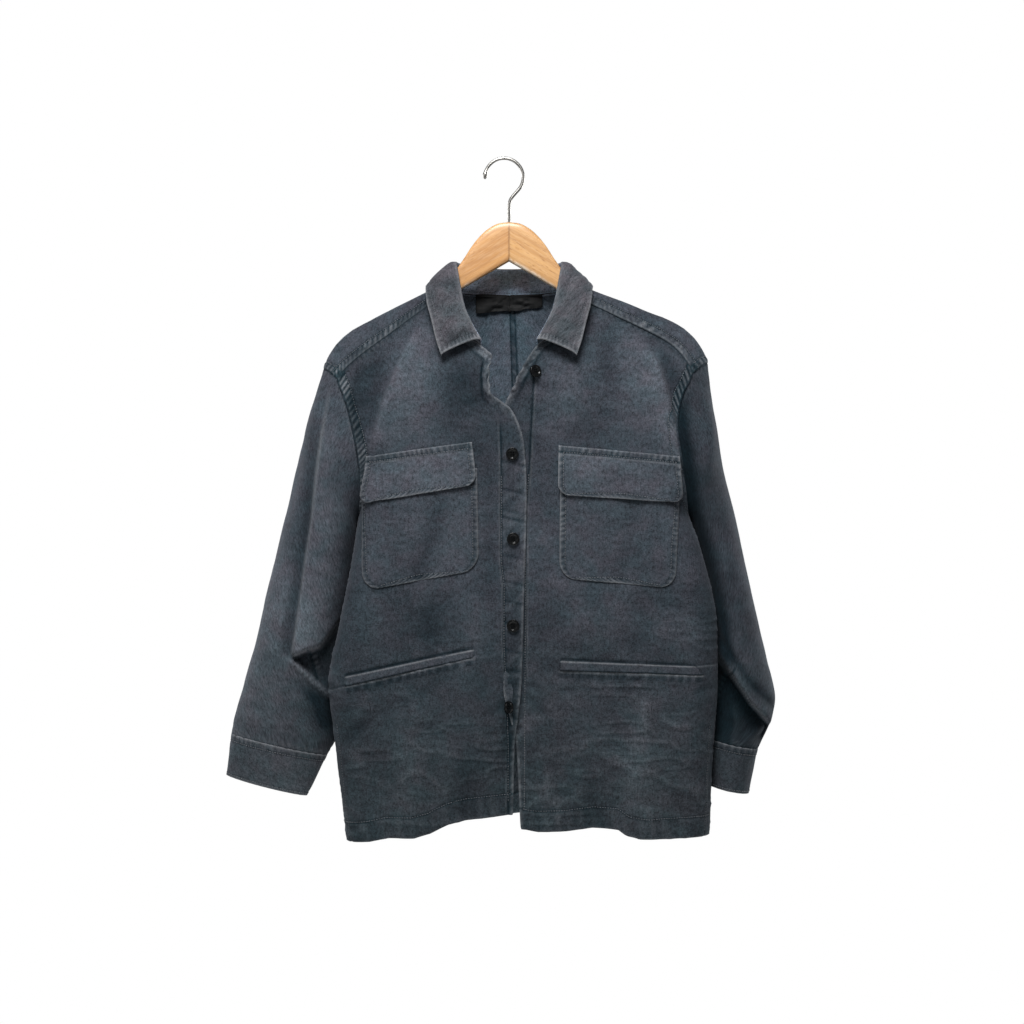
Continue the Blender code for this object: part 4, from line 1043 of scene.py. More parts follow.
# Sleeves and cuffs: oval sections from the armhole down, outer and inner points, middle y and half depth
SleeveRow = namedtuple("SleeveRow", "outerX outerZ innerX innerZ midY halfDepth")
sleeveCut = {
    "right": (
        SleeveRow(-239, -299, -184, -438, -4, 50), SleeveRow(-255, -361, -185, -456, 4, 53),
        SleeveRow(-269, -417, -187, -482, 12, 54), SleeveRow(-283, -470, -193, -518, 18, 52),
        SleeveRow(-297, -528, -202, -558, 21, 50), SleeveRow(-310, -582, -210, -598, 22, 50),
        SleeveRow(-320, -619, -213, -625, 22, 46), SleeveRow(-328, -651, -212, -653, 20, 40),
        SleeveRow(-336, -682, -209, -690, 16, 34), SleeveRow(-338, -694, -223, -720, 12, 28),
    ),
    "left": (
        SleeveRow(249, -307, 220, -438, 2, 50), SleeveRow(258, -355, 225, -458, 14, 52),
        SleeveRow(269, -402, 234, -487, 22, 52), SleeveRow(280, -446, 241, -517, 26, 52),
        SleeveRow(292, -503, 246, -553, 28, 51), SleeveRow(304, -555, 248, -592, 28, 50),
        SleeveRow(316, -606, 247, -628, 28, 50), SleeveRow(326, -652, 245, -663, 27, 49),
        SleeveRow(320, -681, 243, -694, 25, 48), SleeveRow(304, -713, 243, -700, 24, 46),
    ),
}
cuffMouths = {
    "right": SleeveRow(-344, -744, -247, -769, 10, 24),
    "left": SleeveRow(293, -767, 241, -756, 24, 43),
}


def sleeveRing(row, share):  # share 0 at the outer point, 0.5 at the front, 1 and -1 at the inner point
    outer = np.array([row.outerX, row.midY, row.outerZ])
    inner = np.array([row.innerX, row.midY, row.innerZ])
    angle = np.asarray(share) * math.pi
    point = (outer + inner) / 2 + np.cos(angle)[..., None] * (outer - inner) / 2
    point[..., 1] -= row.halfDepth * np.sin(angle)
    return point


sleeveLooks = {
    "around": 150, "along": 186, "tuck": 1.2, "narrowing": 0.965, "barPitch": 7.0, "barHeight": 0.8,
    "seed": {"right": 131, "left": 161},
    "unevenness": 0.7, "flat": (0.47, 0.485), "area": 0.118,
    "recessSeam": {"right": ((-242, -588), (-233, -628)), "left": ((271, -612), (248, -664))},
    # painted light: how much the cloth is lightened, by how far down
    "fade": {"right": ((250, 400, 520, 600, 680, 740), (0.0, 0.1, 0.44, 0.42, 0.06, 0.06)),
             "left": ((250, 740), (0, 0))},
    "creases": {
        "right": (
            Crease(-238, -330, -262, -420, -4, 12, 14, -2.0), Crease(-212, -300, -196, -420, 4, 14, 14, -2.5),
            Crease(-300, -560, -268, -585, 3, 8, 9, -2.2), Crease(-312, -600, -270, -612, 3, 8, 9, -1.8),
            Crease(-290, -480, -262, -505, 2, 9, 10, -1.5), Crease(-262, -640, -232, -668, 2, 7, 9, 2.2),
            Crease(-318, -655, -290, -672, 2, 7, 8, -1.4),
        ),
        "left": (
            Crease(284, -699, 312, -683, 1, 6, 6, 4.5), Crease(246, -380, 262, -470, 3, 10, 12, -2.0),
            Crease(280, -470, 262, -540, -3, 12, 12, -2.0), Crease(300, -560, 276, -600, 3, 9, 10, -2.2),
            Crease(318, -620, 290, -640, 3, 8, 9, -2.0), Crease(252, -640, 268, -690, 2, 6, 8, -2.5),
            Crease(270, -652, 280, -690, 1, 5, 6, 2.2),
        ),
    },
}

foldLines = {
    # x of the fold and of the edge rolled under it, by how far down
    "ridge": ((256, 314, 362, 434, 482, 530, 566, 598), (-211, -220, -227, -236, -244, -251, -256, -261)),
    "rolled": ((598, 607, 629, 647, 662), (-262, -254, -234, -217, -203)),
    # how far down each pouch hangs, by x
    "pouch": {"right": ((-262, -245, -229, -220, -203, -191), (598, 590, 586, 574, 550, 530)),
              "left": ((246, 253, 265, 277, 292, 301, 312, 330), (576, 596, 614, 632, 654, 663, 675, 694))},
    # x of the body's left side, by how far down
    "body": ((300, 330, 358, 395, 418, 430, 468, 560, 632), (196, 199, 204, 211, 214, 217, 230, 250, 251)),
}


# The long fold down the arm and the pouch of cloth that hangs over the elbow, with the hollow under it:
# how far each place stands out, then its wear, painted light and painted shade
def sleeveFold(side, x, z, s):
    deep = -z
    above = np.interp(x, *s["pouch"][side]) - deep
    if side == "right":
        ridge = x - np.interp(deep, *s["ridge"])
        low = x - np.interp(deep, *s["rolled"])
        rise = 2.5 + 9.0 * ease((deep - 300) / 270)
        pouch = (rise * ease(ridge / 4 + 0.45) * ease(above / 6 + 0.4) * (0.35 + 0.65 * bell(ridge / 42))
                 * ease((deep - 262) / 60))
        hollow = -15 * ease(-above / 7) * ease(low / 6 + 0.2) * bell(above / 55)
        shadow = -7 * bell((ridge + 7) / 9) * ease((deep - 300) / 60) * ease(above / 8 + 0.5)
        rolled = bell((low + 3) / 3.6) * ease(-above / 4) * ease((deep - 600) / 6) * ease((668 - deep) / 12)
        puckered = rolled * (0.6 + 0.4 * np.cos(deep * 1.1 + 0.3 * x))
        paintedLight = (0.5 * ease(ridge / 3 + 0.3) * bell((ridge - 8) / 30) * ease(above / 5)
                 * ease((deep - 300) / 60) + 0.9 * puckered
                 + 0.3 * ease((-ridge - 10) / 14) * bell((deep - 560) / 110))
        paintedShade = (0.5 * bell((ridge + 5) / 9) * ease((deep - 320) / 60) * ease(above / 8 + 0.5) * (ridge < 1)
                + 0.6 * ease(-above / 5) * ease(low / 5 + 0.1) * ease((650 - deep) / 20)
                + 0.85 * bell((low + 20) / 14) * ease((deep - 612) / 14) * bell((deep - 658) / 34)
                + 0.65 * bell((x + 216) / 32) * bell((deep - 668) / 34) * ease(-above / 8)
                + 0.6 * bell((ridge - 58) / 16) * ease(above / 6) * ease((deep - 330) / 60))
        wear = (bell(ridge / 2.2) * ease(above / 5) + 0.8 * bell(above / 2.2) * ease(ridge / 4)
                + 0.6 * puckered * bell((low + 2) / 2.5))
        return pouch + hollow + shadow + 3.5 * rolled + 1.2 * puckered, wear, paintedLight, paintedShade
    pouch = 12 * ease(above / 5 + 0.45) * (0.25 + 0.75 * bell(above / 48)) * ease((deep - 470) / 110)
    hollow = -22 * ease(-above / 7) * bell(above / 60)
    valley = above - 22
    offBody = x - np.interp(deep, *s["body"])
    outer = ease((offBody - 12) / 20) * ease(above / 6)
    paintedShade = (1.0 * ease(-above / 5) * bell(above / 110) + 0.3 * ease(above / 6)
            + 0.75 * (1 - ease((offBody - 6) / 18)) * ease((deep - 270) / 40)
            + 0.5 * bell(valley / 9) * ease((deep - 470) / 60) * ease((x - 240) / 12))
    paintedLight = 0.22 * outer + 0.3 * bell((above - 6) / 7) * ease((deep - 520) / 60)
    standing = pouch + hollow - 4 * bell(valley / 8) * ease((deep - 500) / 60)
    return standing, 0.8 * bell(above / 2.4), paintedLight, paintedShade


def makeSleeve(side, s):
    sign = sides[side]

    def form(u, v):
        u, v = np.broadcast_arrays(u, v)
        share = 2 * u[0] - 1
        start = armholePoint(side, share)
        start[:, 0] -= sign * s["tuck"]
        start[:, 1] *= s["narrowing"]
        rings = np.stack([start] + [sleeveRing(row, share) for row in sleeveCut[side]])
        return smoothRows(rings, v[:, 0])

    columns, steps = np.linspace(0, 1, s["around"] + 1), np.linspace(0, 1, 400)
    base = form(columns[None, :], steps[:, None])
    length = np.concatenate([[0], np.cumsum(np.linalg.norm(np.diff(base, axis=0), axis=-1).mean(axis=1))])
    rows = np.interp(np.linspace(0, length[-1], s["along"] + 1), length, steps)
    panel = measurePanel(form(columns[None, :], rows[:, None]), sign, closed=True)
    x, z = panel["x"], panel["z"]
    fromEdge, fromSide, fromTop, fromFoot = edgesOf(panel)
    seed = s["seed"][side]
    facing = ease(-panel["outward"][..., 1] * 2.2)
    behind = ease(panel["outward"][..., 1] * 2.2)
    offSeam = np.minimum(fromEdge, fromSide)  # the underarm seam is where the grid closes
    along, off, beside = alongLine(x, z, *s["recessSeam"][side])
    beside = beside * facing
    seamBars = puckerBars(fromTop, offSeam, 0.0, 5.0, 8.0, seed)
    seamBars = seamBars + 0.8 * beside * puckerBars(along, off * sign, 0.0, 6.0, 7.0, seed + 9)
    seamLine = bell(offSeam / 1.1) + bell(off / 1.1) * beside
    topBars = puckerBars(fromEdge, fromTop, 1.0, 6.0, 8.0, seed + 2) * 0.7
    footBars = puckerBars(fromEdge, fromFoot, 0.0, 7.0, 9.0, seed + 4) * 0.6
    fold, foldWear, paintedLight, paintedShade = sleeveFold(side, x, z, foldLines)
    creased = sumCreases(s["creases"][side], x, z)
    height = creased * np.maximum(facing, 0.8 * behind)
    soft = rumple(x * 0.8 + 300, z * 0.75, 36, seed + 20) * 1.3
    soft += rumple(x + z * 0.4 + 500, z, 16, seed + 21) * 0.4
    height += s["unevenness"] * soft * ease(fromTop / 30) * ease(fromFoot / 20)
    height *= ease(fromTop / 40) * (0.25 + 0.75 * ease(fromFoot / 18))
    height += s["barHeight"] * (seamBars + topBars + footBars) - 0.7 * seamLine
    placed = liftPanel(panel, height)
    placed[..., 1] -= fold * facing * ease(fromTop / 40) * ease(fromFoot / 18)
    placed[:, -1] = placed[:, 0]
    worn = 0.8 * seamBars + 0.5 * topBars + 0.5 * footBars + 0.5 * foldWear * facing * ease(fromTop / 60)
    # painted shade: darker in the seams, at the armhole and cuff seams, in the fold's hollows and shadows,
    # and in crease troughs, more so at the back; lighter on the seam's bars
    sunk = 0.8 * seamLine + 0.7 * bell(fromTop / 2.5) + 0.3 * bell(fromFoot / 2)
    sunk += paintedShade * facing + (0.3 + 0.3 * behind) * np.clip(-(creased + 1.3 * soft) / 5, 0, 1)
    sunk = sunk * (1 - 0.35 * np.clip(seamBars * beside, 0, 1))
    # painted light: the sleeve lightened by how far down, on its fold, on crease ridges and on wrinkles
    fadedAndLit = np.interp(-z, *s["fade"][side]) + paintedLight * facing + 0.2 * np.clip((creased + 1.3 * soft) / 5, 0, 1)
    fadedAndLit += 0.15 * wrinkles(fromEdge + 700, z + 900, 12, seed + 40)
    spread = np.stack([(fromEdge - fromSide) / 2, -fromTop], axis=-1)
    return makeCloth("sleeve_" + side + "_cloth", "sleeve_" + side, panel, spread, (worn, sunk, fadedAndLit), sign,
                     closed=True)


sleevePieces = {side: makeSleeve(side, sleeveLooks) for side in sides}
print("sleeves ready")

cuffLooks = {
    "around": 150, "along": 30, "lapUp": 0.3, "thickness": 1.7, "topLine": 8.0, "hemLine": 3.0,
    "seed": {"right": 191, "left": 211}, "barPitch": 7.5, "barHeight": 0.7, "unevenness": 0.45,
    # fade is painted light on the right cuff, and shade is painted shade on the left cuff
    "fade": {"right": 0.24, "left": 0.0},
    "shade": {"right": 0.0, "left": 0.2}, "barWear": {"right": 0.35, "left": 0.12}, "flat": (0.26, 0.055),
}


def makeCuff(side, s):
    sign = sides[side]
    share = np.linspace(-1, 1, s["around"] + 1)
    top, mouth = sleeveRing(sleeveCut[side][-1], share), sleeveRing(cuffMouths[side], share)
    top = top - unitOf(mouth - top) * s["lapUp"]
    steps = np.linspace(0, 1, s["along"] + 1)[:, None, None]
    panel = measurePanel(top + (mouth - top) * steps, sign, closed=True)
    fromTop, fromFoot, around = panel["fromTop"], panel["fromFoot"], panel["fromEdge"]
    seed = s["seed"][side]
    bars = puckerBars(around, fromTop, 0.8, s["topLine"], s["barPitch"], seed)
    hem = puckerBars(around, fromFoot, 0.3, 4.0, 8.5, seed + 2) * 0.7
    lines = bell((fromTop - s["topLine"]) / 1.2) + 0.8 * bell((fromFoot - s["hemLine"]) / 1.0)
    height = s["barHeight"] * (bars + hem) - 0.5 * lines
    height += s["unevenness"] * rumple(around, fromTop * 1.4, 19, seed + 5) * ease(fromTop / 10)
    placed = liftPanel(panel, height)
    placed[:, -1] = placed[:, 0]
    worn = (s["barWear"][side] * bars + 0.3 * hem + 1.0 * bell((fromTop - 0.5) / 1.1)
            + 0.7 * bell((fromFoot - 0.4) / 1.0))
    # painted shade in the stitch lines and between the bars, and over the whole left cuff
    sunk = 0.7 * lines + 0.3 * inBand(fromTop, 1.5, s["topLine"]) * (1 - bars) + s["shade"][side]
    spread = np.stack([around, -fromTop], axis=-1)
    marks = (worn, sunk, np.full(worn.shape, s["fade"][side]))
    piece = makeCloth("cuffBand_" + side, "cuff_" + side, panel, spread, marks, sign,
                      thickness=s["thickness"], closed=True)
    stitchAt("sleeves", panel, "fromTop", s["topLine"], lift=1.25)
    stitchAt("sleeves", panel, "fromFoot", s["hemLine"], lift=1.25)
    return piece


cuffPieces = {side: makeCuff(side, cuffLooks) for side in sides}
print("cuffs ready")

# Collar: rows from the centre back to the front end on the left side, and the right mirrors them
CollarRow = namedtuple("CollarRow", "share foldX foldY foldZ leafX leafY leafZ")
collarLooks = {
    "rows": (
        CollarRow(0.0, 0, 42, -125, 0, 53, -171), CollarRow(0.19, 36, 37, -124, 54, 47, -171),
        CollarRow(0.33, 55, 24, -121.5, 84, 33, -165), CollarRow(0.47, 64, 2, -120.5, 100, 3, -151),
        CollarRow(0.59, 60, -22, -143, 98, -31, -169), CollarRow(0.8, 53, -42, -178, 91, -45, -198),
        CollarRow(0.91, 43, -51, -201, 86, -51, -219), CollarRow(1.0, 33, -55, -219, 80, -56, -238),
    ),
    "leafGrid": (300, 32), "standGrid": (220, 16), "start": 2.5, "lean": 14.0, "roll": 4.0,
    "edgeLine": 8.0, "neckLine": 5.5, "barPitch": 7.0, "barHeight": 0.75, "thickness": 1.9,
    "creases": (
        Crease(-38, -203, -78, -230, -2, 4, 6, -2.0), Crease(-44, -197, -86, -222, -2, 6, 8, 1.6),
        Crease(50, -196, 84, -214, 3, 6, 7, -1.2), Crease(-70, -150, -92, -176, 2, 7, 8, -1.2),
        Crease(66, -152, 92, -172, -2, 7, 8, -1.3), Crease(40, -222, 70, -236, 1, 5, 5, 1.2),
    ),
    "flatLeaf": (0.485, 0.056), "areaLeaf": 0.0236, "flatStand": (0.425, 0.037), "areaStand": 0.0137,
}


def bothSides(left):
    return np.concatenate([left[:0:-1] * mirror, left])


def collarCurves(columns, s):
    rows = np.array(s["rows"], float)
    foldRows, leafRows = bothSides(rows[:, 1:4]), bothSides(rows[:, 4:7])
    guess = np.linspace(0, 1, 801)
    place = evenShares((smoothRows(foldRows, guess) + smoothRows(leafRows, guess)) / 2, columns)
    share = smoothRows(rows[:, 0], np.abs(2 * place - 1))
    neck = np.where((place < 0.5)[:, None], neckPoint("right", share), neckPoint("left", share))
    return neck, smoothRows(foldRows, place), smoothRows(leafRows, place)


def makeLeaf(s):
    columns, count = s["leafGrid"]
    _, fold, edge = collarCurves(columns, s)
    fall = edge - fold
    out = unitOf(np.stack([fall[:, 0], fall[:, 1], np.full(len(fall), s["lean"])], axis=-1))
    share = (np.linspace(0, 1, count + 1) ** 1.25)[:, None, None]
    arch = (s["start"] * (1 - share) * ease(share / 0.07)
            + s["roll"] * np.sqrt(np.clip(4 * share * (1 - share), 0, 1)))
    panel = measurePanel(fold + fall * share + out * arch)
    x, z = panel["x"], panel["z"]
    fromEdge, fromSide, fromTop, fromFoot = edgesOf(panel)
    ends = np.minimum(fromEdge, fromSide)
    low = puckerBars(fromEdge, fromFoot, 0.8, s["edgeLine"], s["barPitch"], 231) * 0.3
    side = puckerBars(fromTop, ends, 0.8, s["edgeLine"], 4.8, 233)
    bars = np.where(fromFoot < ends, low, side)
    rim = np.minimum(fromFoot, ends)
    line = bell((rim - s["edgeLine"]) / 1.2)
    height = s["barHeight"] * bars - 0.6 * line + 0.6 * bell((rim - 1.4) / 1.8)
    ahead = ease((10 - panel["points"][..., 1]) / 20)
    height += sumCreases(s["creases"], x, z) * ahead * ease(rim / 3)
    soft = rumple(fromEdge, fromTop * 1.2, 21, 240) + 0.7 * rumple(fromEdge + 300, fromTop + 200, 11, 241)
    crumple = wrinkles(fromEdge * 0.8, fromTop + 0.5 * fromEdge, 8, 244)
    shadow = wrinkles(fromEdge * 0.8, fromTop - 2 + 0.5 * fromEdge, 8, 244)  # the same 2 mm lower
    height += (0.9 * soft + 0.9 * crumple) * ease(fromTop / 14) * (0.3 + 0.7 * ease(rim / 6))
    liftPanel(panel, height * ease(fromTop / 3))
    worn = 0.8 * bars + 1.0 * bell((rim - 0.5) / 1.7) + 0.4 * bell(fromTop / 3.0)
    # painted shade in the stitch line, soft troughs and between the bars, and painted shadow under each
    # wrinkle
    sunk = (0.35 * line * np.where(fromFoot < ends, 0.3, 1) + 0.3 * np.clip(-soft, 0, 1)
            + 0.28 * inBand(ends, 0.8, s["edgeLine"]) * (1 - bars) * ease(fromTop / 6)
            + 0.3 * (shadow - crumple).clip(0) * ahead)
    # lighter all over, with painted light on soft ridges and wrinkle crests at the front, and a little
    # lighter on the wearer's left
    fadedAndLit = 0.2 + (0.3 * np.clip(soft, 0, 1) + 0.25 * crumple) * ahead + 0.1 * ease(x / 20)
    piece = makeCloth("collarLeaf", "collar_leaf", panel, np.stack([fromTop, fromEdge], axis=-1),
                      (worn, sunk, fadedAndLit), cloths=(collarCord, collarCord), thickness=s["thickness"])
    for key, start, end in (("fromFoot", 0.02, 0.98), ("fromEdge", 0.12, 0.86), ("fromSide", 0.12, 0.86)):
        stitchAt("collar", panel, key, s["edgeLine"], start, end, 0.95)
    return piece


def makeStand(s):
    columns, count = s["standGrid"]
    neck, fold, _ = collarCurves(columns, s)
    share = np.linspace(0, 1, count + 1)[:, None, None]
    panel = measurePanel(neck + (fold - neck) * share)
    fromTop, fromEdge = panel["fromTop"], panel["fromEdge"]
    bars = puckerBars(fromEdge, fromTop, 0.5, s["neckLine"], 8.0, 251) * 0.8
    line = bell((fromTop - s["neckLine"]) / 1.2)
    height = 0.6 * bars - 0.5 * line + 0.35 * rumple(fromEdge, fromTop * 1.5, 24, 255)
    liftPanel(panel, height * ease(panel["fromFoot"] / 3))
    worn = 0.35 * bars + 0.7 * bell((fromTop - 1.0) / 1.1)
    # painted light: the stand lightened most near the neck seam; its stitch line gets painted shade
    fadedAndLit = 0.3 + 0.7 * ease((30 - fromTop) / 14) * (0.8 + 0.2 * rumple(fromEdge, fromTop, 15, 257))
    piece = makeCloth("collarStand", "collar_stand", panel, np.stack([fromTop, fromEdge], axis=-1),
                      (worn, 0.7 * line, fadedAndLit), cloths=(litStandCord, faceCord))
    stitchAt("collar", panel, "fromTop", s["neckLine"], 0.08, 0.92)
    return piece


collarLeaf = makeLeaf(collarLooks)
collarStand = makeStand(collarLooks)
print("collar ready")


# Pockets, flaps, welts and label: by their corners, upper inner and outer, lower inner and outer
Patch = namedtuple("Patch", "inX inZ outX outZ lowInX lowInZ lowOutX lowOutZ corner")
patches = {
    "chestPocket_right": Patch(-38, -372, -174, -385, -36, -492, -173, -517, 20),
    "pocketFlap_right": Patch(-44, -341, -170, -358, -38, -391, -175, -414, 13),
    "hipWelt_right": Patch(-41, -586, -195, -619, -41, -596, -195, -631, 1.5),
    "chestPocket_left": Patch(61, -376, 202, -382, 60, -502, 198, -514, 20),
    "pocketFlap_left": Patch(59, -345, 205, -358, 58, -403, 204, -413, 13),
    "hipWelt_left": Patch(61, -600, 222, -607, 60, -612, 232, -618, 1.5),
}
patchLooks = {
    "chestPocket": {"node": "chest_pocket", "columns": 84, "rows": 70, "cornerRows": 16, "line": 6.5,
                    "barHeight": 0.65, "fade": 0.16, "flat": (0.142, 0.132),
                    "fold": {"right": ((-78, -404), (-108, -506)), "left": ((152, -410), (130, -506))},
                    "foldShade": {"right": 0.4, "left": 0.2}},
    # the flap's fade is painted light, as it catches the light
    "pocketFlap": {"node": "pocket_flap", "columns": 84, "rows": 30, "cornerRows": 12, "line": 6.0,
                   "barHeight": 0.65, "fade": 0.42, "topLine": 6.8, "flat": (0.14, 0.058)},
    "hipWelt": {"node": "hip_welt", "columns": 150, "rows": 16, "cornerRows": 3, "line": 2.0,
                "barHeight": 0.25, "fade": 0.05, "flat": (0.162, 0.0125)},
}
patchThickness = 1.2
frontMiddle = (0.5, 0.6)  # where on a front the search for a place starts


def placeOn(form, x, z, start):  # where a panel passes through a place seen from the front
    u, v = np.full(x.shape, start[0]), np.full(x.shape, start[1])
    step, stride, rounds, leastArea = 1e-4, 0.2, 30, 1e-6
    for _ in range(rounds):
        point = form(u, v)
        byU = (form(u + step, v) - point) / step
        byV = (form(u, v + step) - point) / step
        offX, offZ = x - point[..., 0], z - point[..., 2]
        area = byU[..., 0] * byV[..., 2] - byV[..., 0] * byU[..., 2]
        area = np.where(np.abs(area) < leastArea, leastArea, area)
        stepU = np.clip((offX * byV[..., 2] - offZ * byV[..., 0]) / area, -stride, stride)
        stepV = np.clip((offZ * byU[..., 0] - offX * byU[..., 2]) / area, -stride, stride)
        u, v = np.clip(u + stepU, 0.005, 0.985), np.clip(v + stepV, 0.01, 0.985)
    return u, v


def liftedFrom(form, u, v, lift, ahead):  # points off a panel along its normal, ahead -1 for the front
    step = 1e-3
    byU, byV = form(u + step, v) - form(u - step, v), form(u, v + step) - form(u, v - step)
    normal = unitOf(np.cross(byU, byV))
    normal *= np.where(normal[..., 1] * ahead > 0, 1, -1)[..., None]
    return form(u, v) + normal * np.asarray(lift)[..., None]


# x and z of a four-cornered piece with round lower corners, and how far across and down it they are
def patchPlaces(patch, columns, rows, cornerRows):
    u = np.linspace(0, 1, columns + 1)[None, :]
    height = math.dist((patch.inX, patch.inZ), (patch.lowInX, patch.lowInZ))
    width = math.dist((patch.inX, patch.inZ), (patch.outX, patch.outZ))
    bend = np.linspace(0, math.pi / 2, cornerRows + 1)[1:]
    straight = np.linspace(0, 1 - patch.corner / height, rows - cornerRows + 1)
    v = np.concatenate([straight, 1 - patch.corner / height * (1 - np.sin(bend))])[:, None]
    inset = np.concatenate([0 * straight, patch.corner / width * 0.92 * (1 - np.cos(bend))])[:, None]
    u = inset + u * (1 - 2 * inset)

    def between(near, far, lowNear, lowFar):
        return (near * (1 - u) + far * u) * (1 - v) + (lowNear * (1 - u) + lowFar * u) * v

    x = between(patch.inX, patch.outX, patch.lowInX, patch.lowOutX)
    z = between(patch.inZ, patch.outZ, patch.lowInZ, patch.lowOutZ)
    return x, z, u, v + 0 * u


def makePatch(kind, side, s):
    sign = -sides[side]
    form = partial(frontForm, side)
    x, z, across, down = patchPlaces(patches[kind + "_" + side], s["columns"], s["rows"], s["cornerRows"])
    u, v = placeOn(form, x, z, frontMiddle)
    seed = sum(map(ord, kind + side))
    fullness = np.sin(math.pi * np.clip(across, 0, 1)) ** 0.6
    bulge = np.sin(math.pi * np.clip(down, 0, 1))
    if kind == "chestPocket":
        lift = 1.75 + 1.5 * fullness * bulge ** 0.8
        _, off, beside = alongLine(x, z, *s["fold"][side])
        trough = bell(off / 11) * beside * fullness
        lift = lift + 0.5 * fullness * rumple(x, z * 0.5, 22, seed) - 0.9 * trough
    elif kind == "pocketFlap":
        hang = ease((down - 0.12) / 0.35)
        lift = 1.8 + 2.8 * hang + 2.4 * hang * down ** 2 * (0.6 + 0.4 * waver(x / 24, seed))
    else:
        lift = 0.3 + (0.9 + 0.6 * bulge) * ease((1 - across) * 14) * ease(across * 30)
    panel = measurePanel(liftedFrom(form, u, v, lift, -1), sign)
    fromEdge, fromSide, fromTop, fromFoot = edgesOf(panel)
    ends = np.minimum(fromEdge, fromSide)
    rim = np.minimum(ends, fromFoot)
    low = puckerBars(fromEdge, fromFoot, 0.8, s["line"], 7.0, seed + 1, 0.05)
    upright = puckerBars(fromTop, ends, 0.8, s["line"], 7.0, seed + 2)
    bars = np.where(fromFoot < ends, low, upright)
    line = bell((rim - s["line"]) / 1.1)
    worn = 1.0 * bell((rim - 0.4) / (1.6 if kind == "pocketFlap" else 1.2))
    if kind == "pocketFlap":
        top = puckerBars(fromEdge, fromTop, 0.6, s["topLine"], 6.5, seed + 3)
        bars = np.where(fromTop < s["topLine"] + 1, top, bars)
        line = line * ease((fromTop - 5) / 4) + bell((fromTop - s["topLine"] - 0.6) / 1.3)
        worn = worn + 0.5 * bell((fromTop - 0.4) / 1.0) + 0.4 * bell((fromTop - s["topLine"] - 2.6) / 1.0)
    if kind == "hipWelt":
        line = line * 0
        worn = 0.9 * bell((fromTop - 1.8) / 0.9)
    height = s["barHeight"] * bars - 0.3 * line + 0.35 * bell((rim - 1.2) / 1.6)
    height += 0.3 * rumple(x, z * 0.7, 13, seed + 5) * ease(rim / 8)
    liftPanel(panel, height)
    # painted shade in the stitch line and between the edge bars
    sunk = 0.4 * line + 0.5 * inBand(rim, 0.8, s["line"]) * (1 - bars) * (kind != "hipWelt")
    if kind == "chestPocket":
        sunk += s["foldShade"][side] * trough
    if kind == "hipWelt":
        # painted shadow lines round the welt's edges
        sunk += bell(fromTop / 0.8) + bell(fromFoot / 1.5) + 0.8 * bell(ends / 1.1)
    if kind == "pocketFlap":
        # painted shade between the flap's top bars and under its top stitch line
        sunk = np.where(fromTop < s["topLine"] + 1, 0.5 * (1 - bars) * ease(fromTop / 1.5), sunk)
        sunk += 0.5 * bell((fromTop - s["topLine"] - 0.6) / 1.3)
    worn = (worn + (0.0 if kind == "hipWelt" else 0.7) * bars) * (0.8 + 0.2 * waver(x / 9, seed + 6))
    spread = np.stack([np.abs(x), z], axis=-1)
    piece = makeCloth(kind + "_" + side, s["node"] + "_" + side, panel, spread,
                      (worn, sunk, np.full(worn.shape, s["fade"])), sign, thickness=patchThickness)
    if kind != "hipWelt":
        for key, start, end in (("fromEdge", 0.1, 0.8), ("fromSide", 0.1, 0.8), ("fromFoot", 0.07, 0.93)):
            stitchAt("pockets", panel, key, s["line"], start, end, 0.75)
    if kind == "pocketFlap":
        stitchAt("pockets", panel, "fromTop", s["topLine"] + 0.6, 0.03, 0.97, 0.75)
    return piece


patchPieces = {(kind, side): makePatch(kind, side, s) for kind, s in patchLooks.items() for side in sides}
print("pockets, flaps and welts ready")

labelLooks = {
    "patch": Patch(0, -159.5, 41, -160, 0, -180, 41, -180, 0.5), "columns": 46, "rows": 26, "cornerRows": 2,
    "lift": 2.2, "crumple": 2.2, "slope": 0.1, "raised": 4.0, "thickness": 0.6, "flat": (0.085, 0.024),
    "start": (0.1, 0.4),
}


def makeLabel(s):
    form = partial(backForm, "left")  # the left half, mirrored for the right
    x, z, _, down = patchPlaces(s["patch"], s["columns"], s["rows"], s["cornerRows"])
    u, v = placeOn(form, x, z, s["start"])
    half = liftedFrom(form, u, v, 0 * x + s["lift"], -1)
    points = np.concatenate([half[:, :0:-1] * mirror, half], axis=1)
    down = np.concatenate([down[:, :0:-1], down], axis=1)
    x, z = points[..., 0], points[..., 2]
    loose = 0.3 + 0.7 * ease(down * 1.2)
    hills = (0.7 * rumple(x + 200, z * 1.6 + 400, 6.5, 301) + 0.9
             + 0.5 * rumple(x + 90, z * 0.8 + 50, 21, 302))
    points[..., 1] -= s["crumple"] * loose * hills + 0.8 * down ** 2
    points[..., 2] += down * (1.2 * waver(x / 11 + 40, 303) + s["slope"] * x) + s["raised"]
    spread = np.stack([x, z], axis=-1)
    piece = makeSheet("neckLabel", points[:, ::-1], spread[:, ::-1], {}, blackTape, blackTape, s["thickness"])
    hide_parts("neck_label")
    return piece


neckLabel = makeLabel(labelLooks)
print("label ready")

# Stitches: one small grain of thread, repeated along each line
threadLooks = {
    "pitch": 3.1, "length": 2.5, "width": 0.42, "height": 0.3, "sunk": 0.12, "lean": 0.12, "ahead": 0.6,
}


